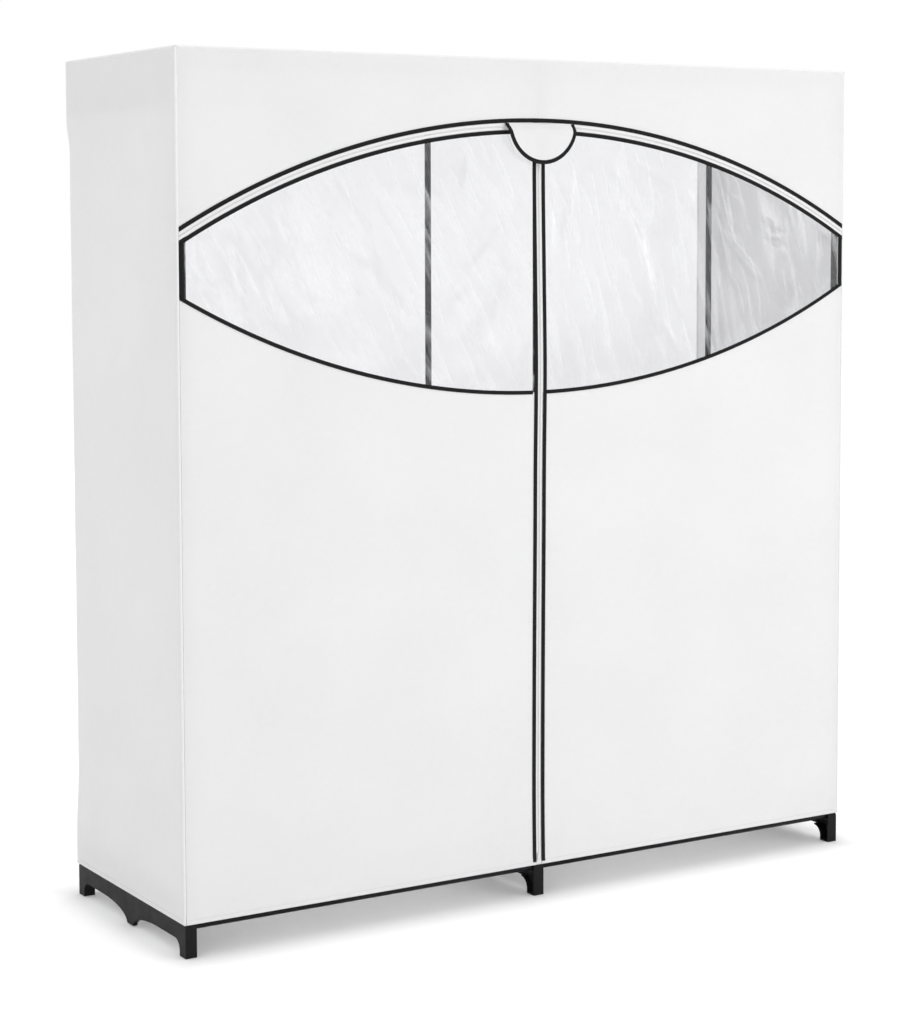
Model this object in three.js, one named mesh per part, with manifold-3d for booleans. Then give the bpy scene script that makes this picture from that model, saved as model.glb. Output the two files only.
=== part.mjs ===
// A portable fabric wardrobe. Three moulded frames at the floor and three at the top hold steel tubes
// upright, and a sewn cover goes over them. Two cloth doors with clear windows close its front, each hinged
// at a front corner and held by half of an arched zip along its top and half of the upright centre zip.
// Millimetres, +Z up, front towards -Y, origin on the floor in the middle of the bounding box.

import * as THREE from 'three';
import { mergeVertices } from 'three/addons/utils/BufferGeometryUtils.js';
import Module from 'manifold-3d';

// Driving dimensions
const width = 1524;
const depth = 495;
const height = 1626;

// Clearances
const seatGap = 0.3;
const zipSplit = 0.4;
const cutOverrun = 2;

// Cover
const clothThickness = 1.2;
const hemProud = 0.8;
const hemHeight = 12;
const hemBottom = 58;
const vinylThickness = 0.9;
const pipingRadius = 2;
const tapeThickness = 0.8;

// Arch over the doors: the binding tape's middle line, a circle through three points of the front
const archBelowTop = 116.5;
const archRise = 206.5;
const archTapeWidth = 8;
const archZipWidth = 13.4;
const windowTapeWidth = 8;

// Windows: their height at the doors' outer edges, and a sill that is a circle, lowest in the middle
const windowSideHeight = 115;
const sillDip = 199;
const sillTapeWidth = 7.5;
const sideTapeWidth = 9.6;

// Centre zip
const centreZipWidth = 11;
const centreTapeWidth = 9.3;
const zipProud = 0.6;

// Moulded frames
const mouldWall = 3;
const bossWall = 3;
const baseHeight = 112;
const topHeight = 104;
const apronHeight = 29;
const apronLip = 9;
const footRound = 20;
const pendantHalfWidth = 14;
const pendantLift = 1.5;
const pendantFlareRun = 111;
const ribCount = 3;

// Tubes
const tubeRadius = 6.5;
const tubeWall = 0.8;
const lowerRailHeight = 56.5;
const upperRailBelowTop = 26;
const hangingRodBelowTop = 72;
const rearUprightInset = 77;
const rearUprightStep = 17;

// Flap over the tops of the zips
const flapRadius = 75;
const flapDrop = 4.5;
const flapBulge = 13;
const flapBulgeRun = 30;
const flapTapeWidth = 8;

// Zip sliders and pulls
const sliderLength = 16;
const sliderWidth = 10;
const sliderNose = 5;
const sliderThickness = 2;
const sliderBelowZip = 8;
const archSliderPlace = 26;
const crownBar = 1;
const crownWidth = 6.4;
const pullWidth = 5;
const pullLength = 16;
const pullThickness = 1;
const pullEyeWall = 0.9;
const pullHole = 2.4;
const retainerHeight = 15;
const retainerThickness = 2.2;

// Smoothness
const tubeSides = 16;
const smallSides = 10;
const archSteps = 40;
const curveSteps = 10;
const flapRings = 6;
const flapRays = 20;

const wasm = await Module();
wasm.setup();

// Colours and finishes
const cloth = new THREE.MeshStandardMaterial({ color: '#e6e8e4', roughness: 0.9, metalness: 0 });
const whiteTrim = new THREE.MeshStandardMaterial({ color: '#f2f2f0', roughness: 0.8, metalness: 0 });
const vinyl = new THREE.MeshStandardMaterial({
  color: '#f1f3f5', roughness: 0.15, metalness: 0, transparent: true, opacity: 0.35,
});
const blackTape = new THREE.MeshStandardMaterial({ color: '#232323', roughness: 0.85, metalness: 0 });
const blackPlastic = new THREE.MeshStandardMaterial({ color: '#2b2b2c', roughness: 0.5, metalness: 0 });
const blackSteel = new THREE.MeshStandardMaterial({ color: '#2a2a2b', roughness: 0.4, metalness: 0.3 });
const sliderMetal = new THREE.MeshStandardMaterial({ color: '#3a3a3c', roughness: 0.35, metalness: 0.8 });

// Places that several pieces share

const halfWidth = width / 2;
const halfDepth = depth / 2;

// The outer faces of the cloth lie behind the hems, which reach the full width and depth.
const clothFront = -halfDepth + hemProud;
const clothBack = halfDepth - hemProud;
const clothSide = halfWidth - hemProud;
const clothTop = height - hemProud;

// Flat panels stop short of the piping along each edge of the box.
const panelInset = 2 * pipingRadius + seatGap;
const panelHalfWidth = halfWidth - panelInset;
const panelHalfDepth = halfDepth - panelInset;
const panelTop = height - panelInset;

// The moulded frames stand just inside the cloth.
const mouldSide = clothSide - clothThickness - seatGap;
const mouldHalfDepth = clothBack - clothThickness - seatGap;
const mouldTop = clothTop - clothThickness - seatGap;

const boreRadius = tubeRadius + seatGap;
const bossRadius = boreRadius + bossWall;
const mouldThickness = mouldWall + 2 * bossRadius;
const footDepth = 2 * (bossRadius + mouldWall);
const railLine = mouldHalfDepth - bossRadius;
const uprightLine = mouldSide - mouldWall - bossRadius;
const rearUprightX = uprightLine - rearUprightStep;
const rearUprightY = mouldHalfDepth - rearUprightInset;
const uprightFoot = lowerRailHeight + boreRadius + mouldWall;
const upperRailHeight = mouldTop - upperRailBelowTop;
const uprightTop = upperRailHeight - boreRadius - mouldWall;
const hangingRodHeight = mouldTop - hangingRodBelowTop;

// The arch: its highest point, its radius and the height of its centre
const archTop = height - archBelowTop;
const archRadius = (halfWidth ** 2 + archRise ** 2) / (2 * archRise);
const archCentre = archTop - archRadius;
const zipOuter = archRadius - archTapeWidth / 2;
const zipInner = zipOuter - archZipWidth;
const zipMiddle = (zipOuter + zipInner) / 2;
const sillHeight = archTop - archRise - windowSideHeight - sillDip;
const sillRadius = (halfWidth ** 2 + sillDip ** 2) / (2 * sillDip);
const sillCentre = sillHeight + sillRadius;

// The centre zip and the tapes beside it, as distances from the middle line
const zipEdge = zipSplit / 2;
const centreTapeEdge = centreZipWidth / 2;
const centreTapeOuter = centreTapeEdge + centreTapeWidth;
const doorEdge = centreTapeEdge + seatGap;
const centreTapeFoot = hemBottom + hemHeight + seatGap;

// How far each layer of the front stands out from the cloth
const tapeFront = seatGap + tapeThickness;
const layerFront = tapeFront + seatGap;
const crownReach = pullHole / 2 + pullEyeWall + seatGap;
const flapTop = archTop - flapDrop;
const flapFront = layerFront + flapBulge + clothThickness + tapeFront;

// Heights of the arch and of the sill at a place across the front, for a circle of a given radius
const onArch = (radius) => (x) => archCentre + Math.sqrt(radius ** 2 - x ** 2);
const onSill = (radius) => (x) => sillCentre - Math.sqrt(radius ** 2 - x ** 2);

const wardrobe = new THREE.Group();

// Adds a named mesh to a group, at a place in that group.
function addPiece(group, name, geometry, material, x = 0, y = 0, z = 0) {
  const mesh = new THREE.Mesh(geometry, material);
  mesh.name = name;
  mesh.position.set(x, y, z);
  group.add(mesh);
  return mesh;
}

// Solids for cuts and joins

function solidOf(geometry) {
  const bare = geometry.clone();
  bare.deleteAttribute('normal');
  bare.deleteAttribute('uv');
  const merged = mergeVertices(bare);
  const vertProperties = new Float32Array(merged.attributes.position.array);
  const triVerts = new Uint32Array(merged.index.array);
  return new wasm.Manifold(new wasm.Mesh({ numProp: 3, vertProperties, triVerts }));
}

function geometryOf(solid) {
  const mesh = solid.getMesh();
  const geometry = new THREE.BufferGeometry();
  geometry.setAttribute('position', new THREE.BufferAttribute(mesh.vertProperties, mesh.numProp));
  geometry.setIndex(new THREE.BufferAttribute(mesh.triVerts, 1));
  geometry.computeVertexNormals();
  return geometry;
}

// Joins the first list of geometries and cuts the second list away.
function shaped(joined, cuts = []) {
  let solid = solidOf(joined[0]);
  joined.slice(1).forEach((geometry) => {
    solid = solid.add(solidOf(geometry));
  });
  cuts.forEach((geometry) => {
    solid = solid.subtract(solidOf(geometry));
  });
  return geometryOf(solid);
}

// Basic shapes

// A box between two corners, given in any order.
function boxBetween(a, b) {
  const size = a.map((value, axis) => Math.abs(value - b[axis]));
  const middle = a.map((value, axis) => (value + b[axis]) / 2);
  return new THREE.BoxGeometry(...size).translate(...middle);
}

// A round bar between two heights, standing along Z.
function uprightBar(radius, x, y, low, high, sides = tubeSides) {
  const bar = new THREE.CylinderGeometry(radius, radius, high - low, sides);
  return bar.rotateX(Math.PI / 2).translate(x, y, (low + high) / 2);
}

// A round bar along X between two places.
function crossBar(radius, left, right, y, z, sides = tubeSides) {
  const bar = new THREE.CylinderGeometry(radius, radius, right - left, sides);
  return bar.rotateZ(Math.PI / 2).translate((left + right) / 2, y, z);
}

// A round bar along Y between two places.
function deepBar(radius, front, back, x, z, sides = tubeSides) {
  return new THREE.CylinderGeometry(radius, radius, back - front, sides).translate(x, (front + back) / 2, z);
}

// A plate whose outline is drawn as seen from the front, from its back face forward.
function frontPlate(outline, thickness) {
  const plate = new THREE.ExtrudeGeometry(outline, { depth: thickness, bevelEnabled: false });
  return plate.rotateX(Math.PI / 2);
}

// A plate whose outline is drawn in depth and height, thickened along +X.
function sidePlate(outline, thickness) {
  const plate = new THREE.ExtrudeGeometry(outline, {
    depth: thickness, bevelEnabled: false, curveSegments: curveSteps,
  });
  const turned = new THREE.Matrix4().makeBasis(
    new THREE.Vector3(0, 1, 0), new THREE.Vector3(0, 0, 1), new THREE.Vector3(1, 0, 0),
  );
  return plate.applyMatrix4(turned);
}

// Points of a line across the front, at heights from a function of x.
function lineAcross(from, to, heightAt) {
  const steps = Math.max(1, Math.ceil((archSteps * Math.abs(to - from)) / (2 * panelHalfWidth)));
  return Array.from({ length: steps + 1 }, (_, i) => {
    const x = from + ((to - from) * i) / steps;
    return new THREE.Vector2(x, heightAt(x));
  });
}

// A strip or panel between two lines across the front.
function outlineBetween(from, to, lowerAt, upperAt) {
  return new THREE.Shape([...lineAcross(from, to, lowerAt), ...lineAcross(to, from, upperAt)]);
}

// Moulded frames

// The outline of a base frame in depth and height, drawn in by an inset so that its walls keep their thickness.
// Each foot turns into the apron with a quarter round, and the pendant flares into it with quarter ellipses.
function baseOutline(inset) {
  const outer = mouldHalfDepth - inset;
  const footInner = mouldHalfDepth - footDepth + inset;
  const round = footRound + inset;
  const apron = apronHeight + inset;
  const tip = pendantLift + inset;
  const tipHalf = pendantHalfWidth - inset;
  const flareEnd = pendantHalfWidth + pendantFlareRun;
  const outline = new THREE.Shape();
  outline.moveTo(outer, baseHeight - inset);
  outline.lineTo(-outer, baseHeight - inset);
  outline.lineTo(-outer, inset);
  outline.lineTo(-footInner, inset);
  outline.lineTo(-footInner, apron - round);
  outline.absarc(-footInner + round, apron - round, round, Math.PI, Math.PI / 2, true);
  outline.lineTo(-flareEnd, apron);
  outline.absellipse(-flareEnd, tip, flareEnd - tipHalf, apron - tip, Math.PI / 2, 0, true);
  outline.lineTo(tipHalf, tip);
  outline.absellipse(flareEnd, tip, flareEnd - tipHalf, apron - tip, Math.PI, Math.PI / 2, true);
  outline.lineTo(footInner - round, apron);
  outline.absarc(footInner - round, apron - round, round, Math.PI / 2, 0, true);
  outline.lineTo(footInner, inset);
  outline.lineTo(outer, inset);
  outline.closePath();
  return outline;
}

// The outline of a top frame, a plain long rectangle.
function topOutline(inset) {
  const outer = mouldHalfDepth - inset;
  const low = mouldTop - topHeight + inset;
  const high = mouldTop - inset;
  return new THREE.Shape([
    new THREE.Vector2(-outer, low),
    new THREE.Vector2(outer, low),
    new THREE.Vector2(outer, high),
    new THREE.Vector2(-outer, high),
  ]);
}

// A shell with a wall on its outer side and a rim all round. The hollow is cut from each open side.
// An end frame is open inwards, and the centre frame is open both ways about a middle web.
function mouldShell(outlineAt, left, right, openings) {
  const shell = sidePlate(outlineAt(0), right - left).translate(left, 0, 0);
  const hollows = openings.map(([from, to]) => sidePlate(outlineAt(mouldWall), to - from).translate(from, 0, 0));
  return shaped([shell], hollows);
}

// Trims the rim of a base frame to a low lip between its feet.
function lipCut(from, to) {
  const reach = mouldHalfDepth - footDepth - footRound;
  return boxBetween([from, -reach, -cutOverrun], [to, reach, baseHeight - mouldWall]);
}

// The sockets of one moulded frame: a boss and a bore for each tube that it holds.
// Each upright is [x, y], and each cross tube is [y, z] with the side or sides that it enters from.
function socketed(shell, frame) {
  const bosses = [];
  const bores = [];
  frame.uprights.forEach(([x, y]) => {
    bosses.push(uprightBar(bossRadius, x, y, frame.socketLow, frame.socketHigh));
    bores.push(uprightBar(boreRadius, x, y, frame.boreLow, frame.boreHigh));
    const blockFrom = [x, y - bossRadius, frame.socketLow];
    bosses.push(boxBetween(blockFrom, [frame.web, y + bossRadius, frame.socketHigh]));
  });
  frame.crossTubes.forEach(([y, z]) => {
    bosses.push(crossBar(bossRadius, frame.left, frame.right, y, z));
    frame.entries.forEach(([from, to]) => bores.push(crossBar(boreRadius, from, to, y, z)));
  });
  return shaped([shell, ...bosses], [...bores, ...pipingGrooves()]);
}

// Upright ribs across the hollow of a frame, spread evenly over its depth.
function ribs(left, right, low, high) {
  const pitch = (2 * mouldHalfDepth) / (ribCount + 1);
  return Array.from({ length: ribCount }, (_, i) => {
    const y = -mouldHalfDepth + pitch * (i + 1);
    return boxBetween([left, y - mouldWall / 2, low], [right, y + mouldWall / 2, high]);
  });
}

// The grooves that the piping lies in, along the corners and top edges of the frames.
const pipingX = halfWidth - pipingRadius;
const pipingY = halfDepth - pipingRadius;
const pipingTop = height - pipingRadius;
function pipingGrooves() {
  const groove = pipingRadius + seatGap;
  return [-1, 1].flatMap((end) => [
    uprightBar(groove, end * pipingX, -pipingY, hemBottom - seatGap, height),
    uprightBar(groove, end * pipingX, pipingY, hemBottom - seatGap, height),
    deepBar(groove, -halfDepth, halfDepth, end * pipingX, pipingTop),
    crossBar(groove, -halfWidth, halfWidth, end * pipingY, pipingTop),
  ]);
}

const centreHalf = mouldThickness / 2;
const webHalf = mouldWall / 2;

// Where the walls of a frame lie along X: -1 is the left end, 0 the centre and 1 the right end.
function frameLayout(side) {
  if (side === 0) {
    return {
      left: -centreHalf,
      right: centreHalf,
      web: 0,
      uprights: [[0, -railLine], [0, rearUprightY]],
      entries: [[-centreHalf - cutOverrun, -webHalf], [webHalf, centreHalf + cutOverrun]],
      lipCuts: [[-centreHalf - cutOverrun, -apronLip / 2], [apronLip / 2, centreHalf + cutOverrun]],
    };
  }
  const inner = mouldSide - mouldThickness;
  const wall = mouldSide - mouldWall;
  const span = (from, to) => (side > 0 ? [from, to] : [-to, -from]);
  const [left, right] = span(inner, mouldSide);
  return {
    left,
    right,
    web: side * wall,
    uprights: [[side * uprightLine, -railLine], [side * rearUprightX, rearUprightY]],
    entries: [span(inner - cutOverrun, wall)],
    lipCuts: [span(inner - cutOverrun, mouldSide - apronLip)],
  };
}

function baseFrame(side) {
  const frame = frameLayout(side);
  frame.socketLow = uprightFoot - mouldWall;
  frame.socketHigh = baseHeight;
  frame.boreLow = uprightFoot;
  frame.boreHigh = baseHeight + cutOverrun;
  frame.crossTubes = [[-railLine, lowerRailHeight], [railLine, lowerRailHeight]];
  const shell = mouldShell(baseOutline, frame.left, frame.right, frame.entries);
  const trimmed = shaped([shell], frame.lipCuts.map(([from, to]) => lipCut(from, to)));
  const ribLeft = frame.left + (side > 0 ? mouldThickness - apronLip : 0);
  const ribRight = frame.right - (side < 0 ? mouldThickness - apronLip : 0);
  const ribbed = shaped([trimmed, ...ribs(ribLeft, ribRight, apronHeight, baseHeight)]);
  return socketed(ribbed, frame);
}

function topFrame(side) {
  const frame = frameLayout(side);
  frame.socketLow = mouldTop - topHeight;
  frame.socketHigh = uprightTop + mouldWall;
  frame.boreLow = mouldTop - topHeight - cutOverrun;
  frame.boreHigh = uprightTop;
  frame.crossTubes = [[-railLine, upperRailHeight], [railLine, upperRailHeight], [0, hangingRodHeight]];
  const shell = mouldShell(topOutline, frame.left, frame.right, frame.entries);
  const ribbed = shaped([shell, ...ribs(frame.left, frame.right, mouldTop - topHeight, mouldTop)]);
  return socketed(ribbed, frame);
}

const frameSides = { left: -1, centre: 0, right: 1 };
Object.entries(frameSides).forEach(([name, side]) => {
  addPiece(wardrobe, `base_frame_${name}`, baseFrame(side), blackPlastic);
  addPiece(wardrobe, `top_frame_${name}`, topFrame(side), blackPlastic);
});

// Tubes

// An open steel tube along Z, as a ring profile turned round its axis.
function tube(length) {
  const profile = [
    new THREE.Vector2(tubeRadius - tubeWall, 0),
    new THREE.Vector2(tubeRadius, 0),
    new THREE.Vector2(tubeRadius, length),
    new THREE.Vector2(tubeRadius - tubeWall, length),
    new THREE.Vector2(tubeRadius - tubeWall, 0),
  ];
  return new THREE.LatheGeometry(profile, tubeSides).rotateX(Math.PI / 2);
}

const uprightFrom = uprightFoot + seatGap;
const uprightLength = uprightTop - seatGap - uprightFrom;
Object.entries(frameSides).forEach(([name, side]) => {
  const frontX = side * uprightLine;
  const rearX = side * rearUprightX;
  addPiece(wardrobe, `upright_front_${name}`, tube(uprightLength), blackSteel, frontX, -railLine, uprightFrom);
  addPiece(wardrobe, `upright_rear_${name}`, tube(uprightLength), blackSteel, rearX, rearUprightY, uprightFrom);
});

const railInner = webHalf + seatGap;
const railOuter = mouldSide - mouldWall - seatGap;
const crossTubes = [
  ['lower_rail_front', -railLine, lowerRailHeight],
  ['lower_rail_rear', railLine, lowerRailHeight],
  ['upper_rail_front', -railLine, upperRailHeight],
  ['upper_rail_rear', railLine, upperRailHeight],
  ['hanging_rod', 0, hangingRodHeight],
];
crossTubes.forEach(([name, y, z]) => {
  const length = railOuter - railInner;
  const left = addPiece(wardrobe, `${name}_left`, tube(length), blackSteel, -railOuter, y, z);
  const right = addPiece(wardrobe, `${name}_right`, tube(length), blackSteel, railInner, y, z);
  left.rotation.y = Math.PI / 2;
  right.rotation.y = Math.PI / 2;
});

// Fixed cover

const wallHeight = panelTop - hemBottom;

// A wall of cloth standing on its hem, in its own frame: length along X, outer face towards -Y.
function hemmedWall(halfLength) {
  const wall = boxBetween([-halfLength, -clothThickness, 0], [halfLength, 0, wallHeight]);
  const hem = boxBetween([-halfLength, -clothThickness - hemProud, 0], [halfLength, 0, hemHeight]);
  return shaped([wall, hem]);
}

const sideInner = clothSide - clothThickness;
const backInner = clothBack - clothThickness;
const back = addPiece(wardrobe, 'cover_back', hemmedWall(panelHalfWidth), cloth, 0, backInner, hemBottom);
back.rotation.z = Math.PI;
const leftWall = addPiece(wardrobe, 'cover_side_left', hemmedWall(panelHalfDepth), cloth, -sideInner, 0, hemBottom);
leftWall.rotation.z = -Math.PI / 2;
const rightWall = addPiece(wardrobe, 'cover_side_right', hemmedWall(panelHalfDepth), cloth, sideInner, 0, hemBottom);
rightWall.rotation.z = Math.PI / 2;

const topSheet = new THREE.BoxGeometry(2 * panelHalfWidth, 2 * panelHalfDepth, clothThickness);
addPiece(wardrobe, 'cover_top', topSheet, cloth, 0, 0, clothTop - clothThickness / 2);

const valanceOutline = outlineBetween(-panelHalfWidth, panelHalfWidth, onArch(zipOuter + seatGap), () => panelTop);
const frontInner = clothFront + clothThickness;
addPiece(wardrobe, 'valance', frontPlate(valanceOutline, clothThickness), cloth, 0, frontInner);

// Piping along the upright corners, and along the top edges between them
const pipingSides = { left: -1, right: 1 };
Object.entries(pipingSides).forEach(([name, side]) => {
  const upright = uprightBar(pipingRadius, 0, 0, hemBottom, panelTop);
  addPiece(wardrobe, `piping_front_${name}`, upright, whiteTrim, side * pipingX, -pipingY);
  addPiece(wardrobe, `piping_rear_${name}`, upright, whiteTrim, side * pipingX, pipingY);
  const along = deepBar(pipingRadius, -panelHalfDepth, panelHalfDepth, 0, 0);
  addPiece(wardrobe, `piping_top_${name}`, along, whiteTrim, side * pipingX, 0, pipingTop);
});
const acrossTop = crossBar(pipingRadius, -halfWidth, halfWidth, 0, 0);
addPiece(wardrobe, 'piping_top_front', acrossTop, whiteTrim, 0, -pipingY, pipingTop);
addPiece(wardrobe, 'piping_top_rear', acrossTop, whiteTrim, 0, pipingY, pipingTop);

// The fixed tape and the fixed half of the arched zip
function archStrip(from, to, inner, outer, thickness) {
  return frontPlate(outlineBetween(from, to, onArch(inner), onArch(outer)), thickness);
}

const tapeBack = clothFront - seatGap;
const archTape = archStrip(-panelHalfWidth, panelHalfWidth, zipOuter, zipOuter + archTapeWidth, tapeThickness);
addPiece(wardrobe, 'valance_binding', archTape, blackTape, 0, tapeBack);
const zipThickness = clothThickness + zipProud;
const fixedZip = archStrip(-panelHalfWidth, panelHalfWidth, zipMiddle + zipEdge, zipOuter - seatGap, zipThickness);
addPiece(wardrobe, 'arch_zip_fixed', fixedZip, whiteTrim, 0, frontInner);

// Doors

// The cloth below the sill, with its hem.
function doorPanel(side) {
  const outer = side * panelHalfWidth;
  const inner = side * doorEdge;
  const outline = outlineBetween(outer, inner, () => hemBottom, onSill(sillRadius + seatGap / 2));
  const hemFrom = [outer, clothFront - hemProud, hemBottom];
  const hem = boxBetween(hemFrom, [inner, frontInner, hemBottom + hemHeight]);
  return shaped([frontPlate(outline, clothThickness).translate(0, frontInner, 0), hem]);
}

// The window, from the sill up to the arched zip.
function doorWindow(side) {
  const windowTop = onArch(zipInner - seatGap);
  const windowSill = onSill(sillRadius - seatGap / 2);
  const outline = outlineBetween(side * panelHalfWidth, side * doorEdge, windowSill, windowTop);
  return frontPlate(outline, vinylThickness);
}

// The tape along the sill and up the window's outer side, in one length.
function sillTape(side) {
  const outer = side * panelHalfWidth;
  const inner = side * (centreTapeOuter + seatGap);
  const cornerX = side * (panelHalfWidth - sideTapeWidth);
  const topAt = onArch(zipInner - windowTapeWidth - seatGap);
  const outline = new THREE.Shape([
    ...lineAcross(inner, outer, onSill(sillRadius + sillTapeWidth / 2)),
    new THREE.Vector2(outer, topAt(outer)),
    new THREE.Vector2(cornerX, topAt(cornerX)),
    ...lineAcross(cornerX, inner, onSill(sillRadius - sillTapeWidth / 2)),
  ]);
  return frontPlate(outline, tapeThickness);
}

// A strip up the door's free edge, from a foot height to the arched zip.
function centreStrip(side, near, far, foot, thickness) {
  const outline = outlineBetween(side * near, side * far, () => foot, onArch(zipInner - seatGap));
  return frontPlate(outline, thickness);
}

function addDoor(name, side) {
  const door = new THREE.Group();
  const outer = side * panelHalfWidth;
  addPiece(door, `door_panel_${name}`, doorPanel(side), cloth);
  addPiece(door, `door_window_${name}`, doorWindow(side), vinyl, 0, clothFront + vinylThickness);
  const topTape = archStrip(
    outer, side * (centreTapeOuter + seatGap), zipInner - windowTapeWidth, zipInner, tapeThickness,
  );
  addPiece(door, `window_top_binding_${name}`, topTape, blackTape, 0, tapeBack);
  addPiece(door, `window_sill_binding_${name}`, sillTape(side), blackTape, 0, tapeBack);
  const centreTape = centreStrip(side, centreTapeEdge, centreTapeOuter, centreTapeFoot, tapeThickness);
  addPiece(door, `centre_binding_${name}`, centreTape, blackTape, 0, tapeBack);
  const archHalf = archStrip(outer, side * zipEdge, zipInner + seatGap, zipMiddle - zipEdge, zipThickness);
  addPiece(door, `arch_zip_${name}`, archHalf, whiteTrim, 0, frontInner);
  const centreHalfZip = centreStrip(side, zipEdge, centreTapeEdge - seatGap, hemBottom, zipThickness);
  addPiece(door, `centre_zip_${name}`, centreHalfZip, whiteTrim, 0, frontInner);
  wardrobe.add(door);
  return door;
}

const leftDoor = addDoor('left', -1);
const rightDoor = addDoor('right', 1);

// Flap

// How far the flap stands out at a depth below its top edge: a quarter ellipse, so it clears the sliders
// at once and then hangs straight.
const flapReach = flapRadius + flapTapeWidth / 2;
function flapOut(below) {
  const share = 1 - Math.min(1, below / flapBulgeRun);
  return layerFront + flapBulge * Math.sqrt(1 - share ** 2);
}

// A closed sheet between two radii of the half round, standing off by an offset.
function flapSheet(inner, outer, offset, thickness) {
  const positions = [];
  const index = [];
  const across = flapRays + 1;
  const layers = [offset, offset + thickness];
  layers.forEach((layer) => {
    for (let ring = 0; ring <= flapRings; ring += 1) {
      const radius = inner + ((outer - inner) * ring) / flapRings;
      for (let ray = 0; ray <= flapRays; ray += 1) {
        const angle = Math.PI * (1 + ray / flapRays);
        const below = Math.max(0, -radius * Math.sin(angle));
        positions.push(radius * Math.cos(angle), -flapOut(below) - layer, -below);
      }
    }
  });
  const face = across * (flapRings + 1);
  const quad = (a, b, c, d) => index.push(a, c, b, a, d, c);
  for (let ring = 0; ring < flapRings; ring += 1) {
    for (let ray = 0; ray < flapRays; ray += 1) {
      const a = ring * across + ray;
      quad(a, a + across, a + across + 1, a + 1);
      quad(face + a, face + a + 1, face + a + across + 1, face + a + across);
    }
    const first = ring * across;
    const last = first + flapRays;
    quad(first, face + first, face + first + across, first + across);
    quad(last, last + across, face + last + across, face + last);
  }
  for (let ray = 0; ray < flapRays; ray += 1) {
    const rim = flapRings * across + ray;
    quad(ray, ray + 1, face + ray + 1, face + ray);
    quad(rim, face + rim, face + rim + 1, rim + 1);
  }
  const geometry = new THREE.BufferGeometry();
  geometry.setAttribute('position', new THREE.Float32BufferAttribute(positions, 3));
  geometry.setIndex(index);
  return withoutSlivers(mergeVertices(geometry));
}

// Leaves out the triangles that merging closed up.
function withoutSlivers(geometry) {
  const index = [];
  const given = geometry.index.array;
  for (let i = 0; i < given.length; i += 3) {
    const [a, b, c] = given.slice(i, i + 3);
    if (a !== b && b !== c && c !== a) index.push(a, b, c);
  }
  geometry.setIndex(index);
  geometry.computeVertexNormals();
  return geometry;
}

const flap = new THREE.Group();
flap.position.set(0, clothFront, flapTop);
addPiece(flap, 'zip_flap', flapSheet(0, flapRadius, 0, clothThickness), cloth);
const flapTape = flapSheet(flapRadius - flapTapeWidth / 2, flapReach, clothThickness + seatGap, tapeThickness);
addPiece(flap, 'flap_binding', flapTape, blackTape);
wardrobe.add(flap);

// Zip sliders

const bodyFront = layerFront + sliderThickness;
const crownOut = bodyFront + crownReach;

// A slider's plate, drawn with its wide nose at the top, and its crown with the bar that the pull hangs on.
function sliderBody() {
  const half = sliderWidth / 2;
  const tail = half - sliderWidth / sliderNose;
  const outline = new THREE.Shape([
    new THREE.Vector2(-tail, -sliderLength / 2),
    new THREE.Vector2(tail, -sliderLength / 2),
    new THREE.Vector2(half, sliderLength / 2 - sliderNose),
    new THREE.Vector2(tail, sliderLength / 2),
    new THREE.Vector2(-tail, sliderLength / 2),
    new THREE.Vector2(-half, sliderLength / 2 - sliderNose),
  ]);
  const plate = frontPlate(outline, sliderThickness).translate(0, -layerFront, 0);
  const barFront = -crownOut - crownBar / 2;
  const posts = [-1, 1].map((side) => {
    const post = side * (crownWidth / 2);
    return boxBetween([post, -bodyFront + crownBar / 2, -crownBar / 2], [post - side * crownBar, barFront, crownBar / 2]);
  });
  const bar = boxBetween(
    [-crownWidth / 2, -crownOut + crownBar / 2, -crownBar / 2], [crownWidth / 2, barFront, crownBar / 2],
  );
  return shaped([plate, ...posts, bar]);
}

// A pull: an eye round the crown's bar and a flat tab that hangs from it.
function sliderPull() {
  const eyeRadius = pullHole / 2 + pullEyeWall;
  const eyeHalf = crownWidth / 2 - crownBar - seatGap;
  const eye = crossBar(eyeRadius, -eyeHalf, eyeHalf, 0, 0, smallSides);
  const tab = boxBetween(
    [-pullWidth / 2, -pullThickness / 2, -pullLength], [pullWidth / 2, pullThickness / 2, -eyeRadius],
  );
  const neck = boxBetween([-eyeHalf, -pullThickness / 2, -eyeRadius - pullEyeWall], [eyeHalf, pullThickness / 2, 0]);
  const hole = crossBar(pullHole / 2, -crownWidth, crownWidth, 0, 0, smallSides);
  return shaped([eye, neck, tab], [hole]);
}

// A slider with its pull, placed on a door and turned to lie along its zip.
function addSlider(door, name, x, z, turn) {
  const slider = new THREE.Group();
  slider.position.set(x, clothFront, z);
  slider.rotation.y = turn;
  addPiece(slider, `${name}_slider`, sliderBody(), sliderMetal);
  addPiece(slider, `${name}_pull`, sliderPull(), sliderMetal, 0, -crownOut, 0);
  door.add(slider);
}

// Each arched slider lies on its side, nose to the middle, at the top of the window's arched tape.
const archSliderRadius = zipInner - windowTapeWidth / 2 + sliderWidth / 4;
const archSliderTurn = Math.asin(archSliderPlace / archSliderRadius);
const archSliderHeight = onArch(archSliderRadius)(archSliderPlace);
addSlider(leftDoor, 'arch_left', -archSliderPlace, archSliderHeight, Math.PI / 2 - archSliderTurn);
addSlider(rightDoor, 'arch_right', archSliderPlace, archSliderHeight, -Math.PI / 2 + archSliderTurn);
const centreSliderX = -(zipEdge + sliderWidth / 2);
const centreSliderTop = archSliderHeight - sliderWidth / 2 - sliderBelowZip;
addSlider(leftDoor, 'centre', centreSliderX, centreSliderTop - sliderLength / 2, 0);

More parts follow.
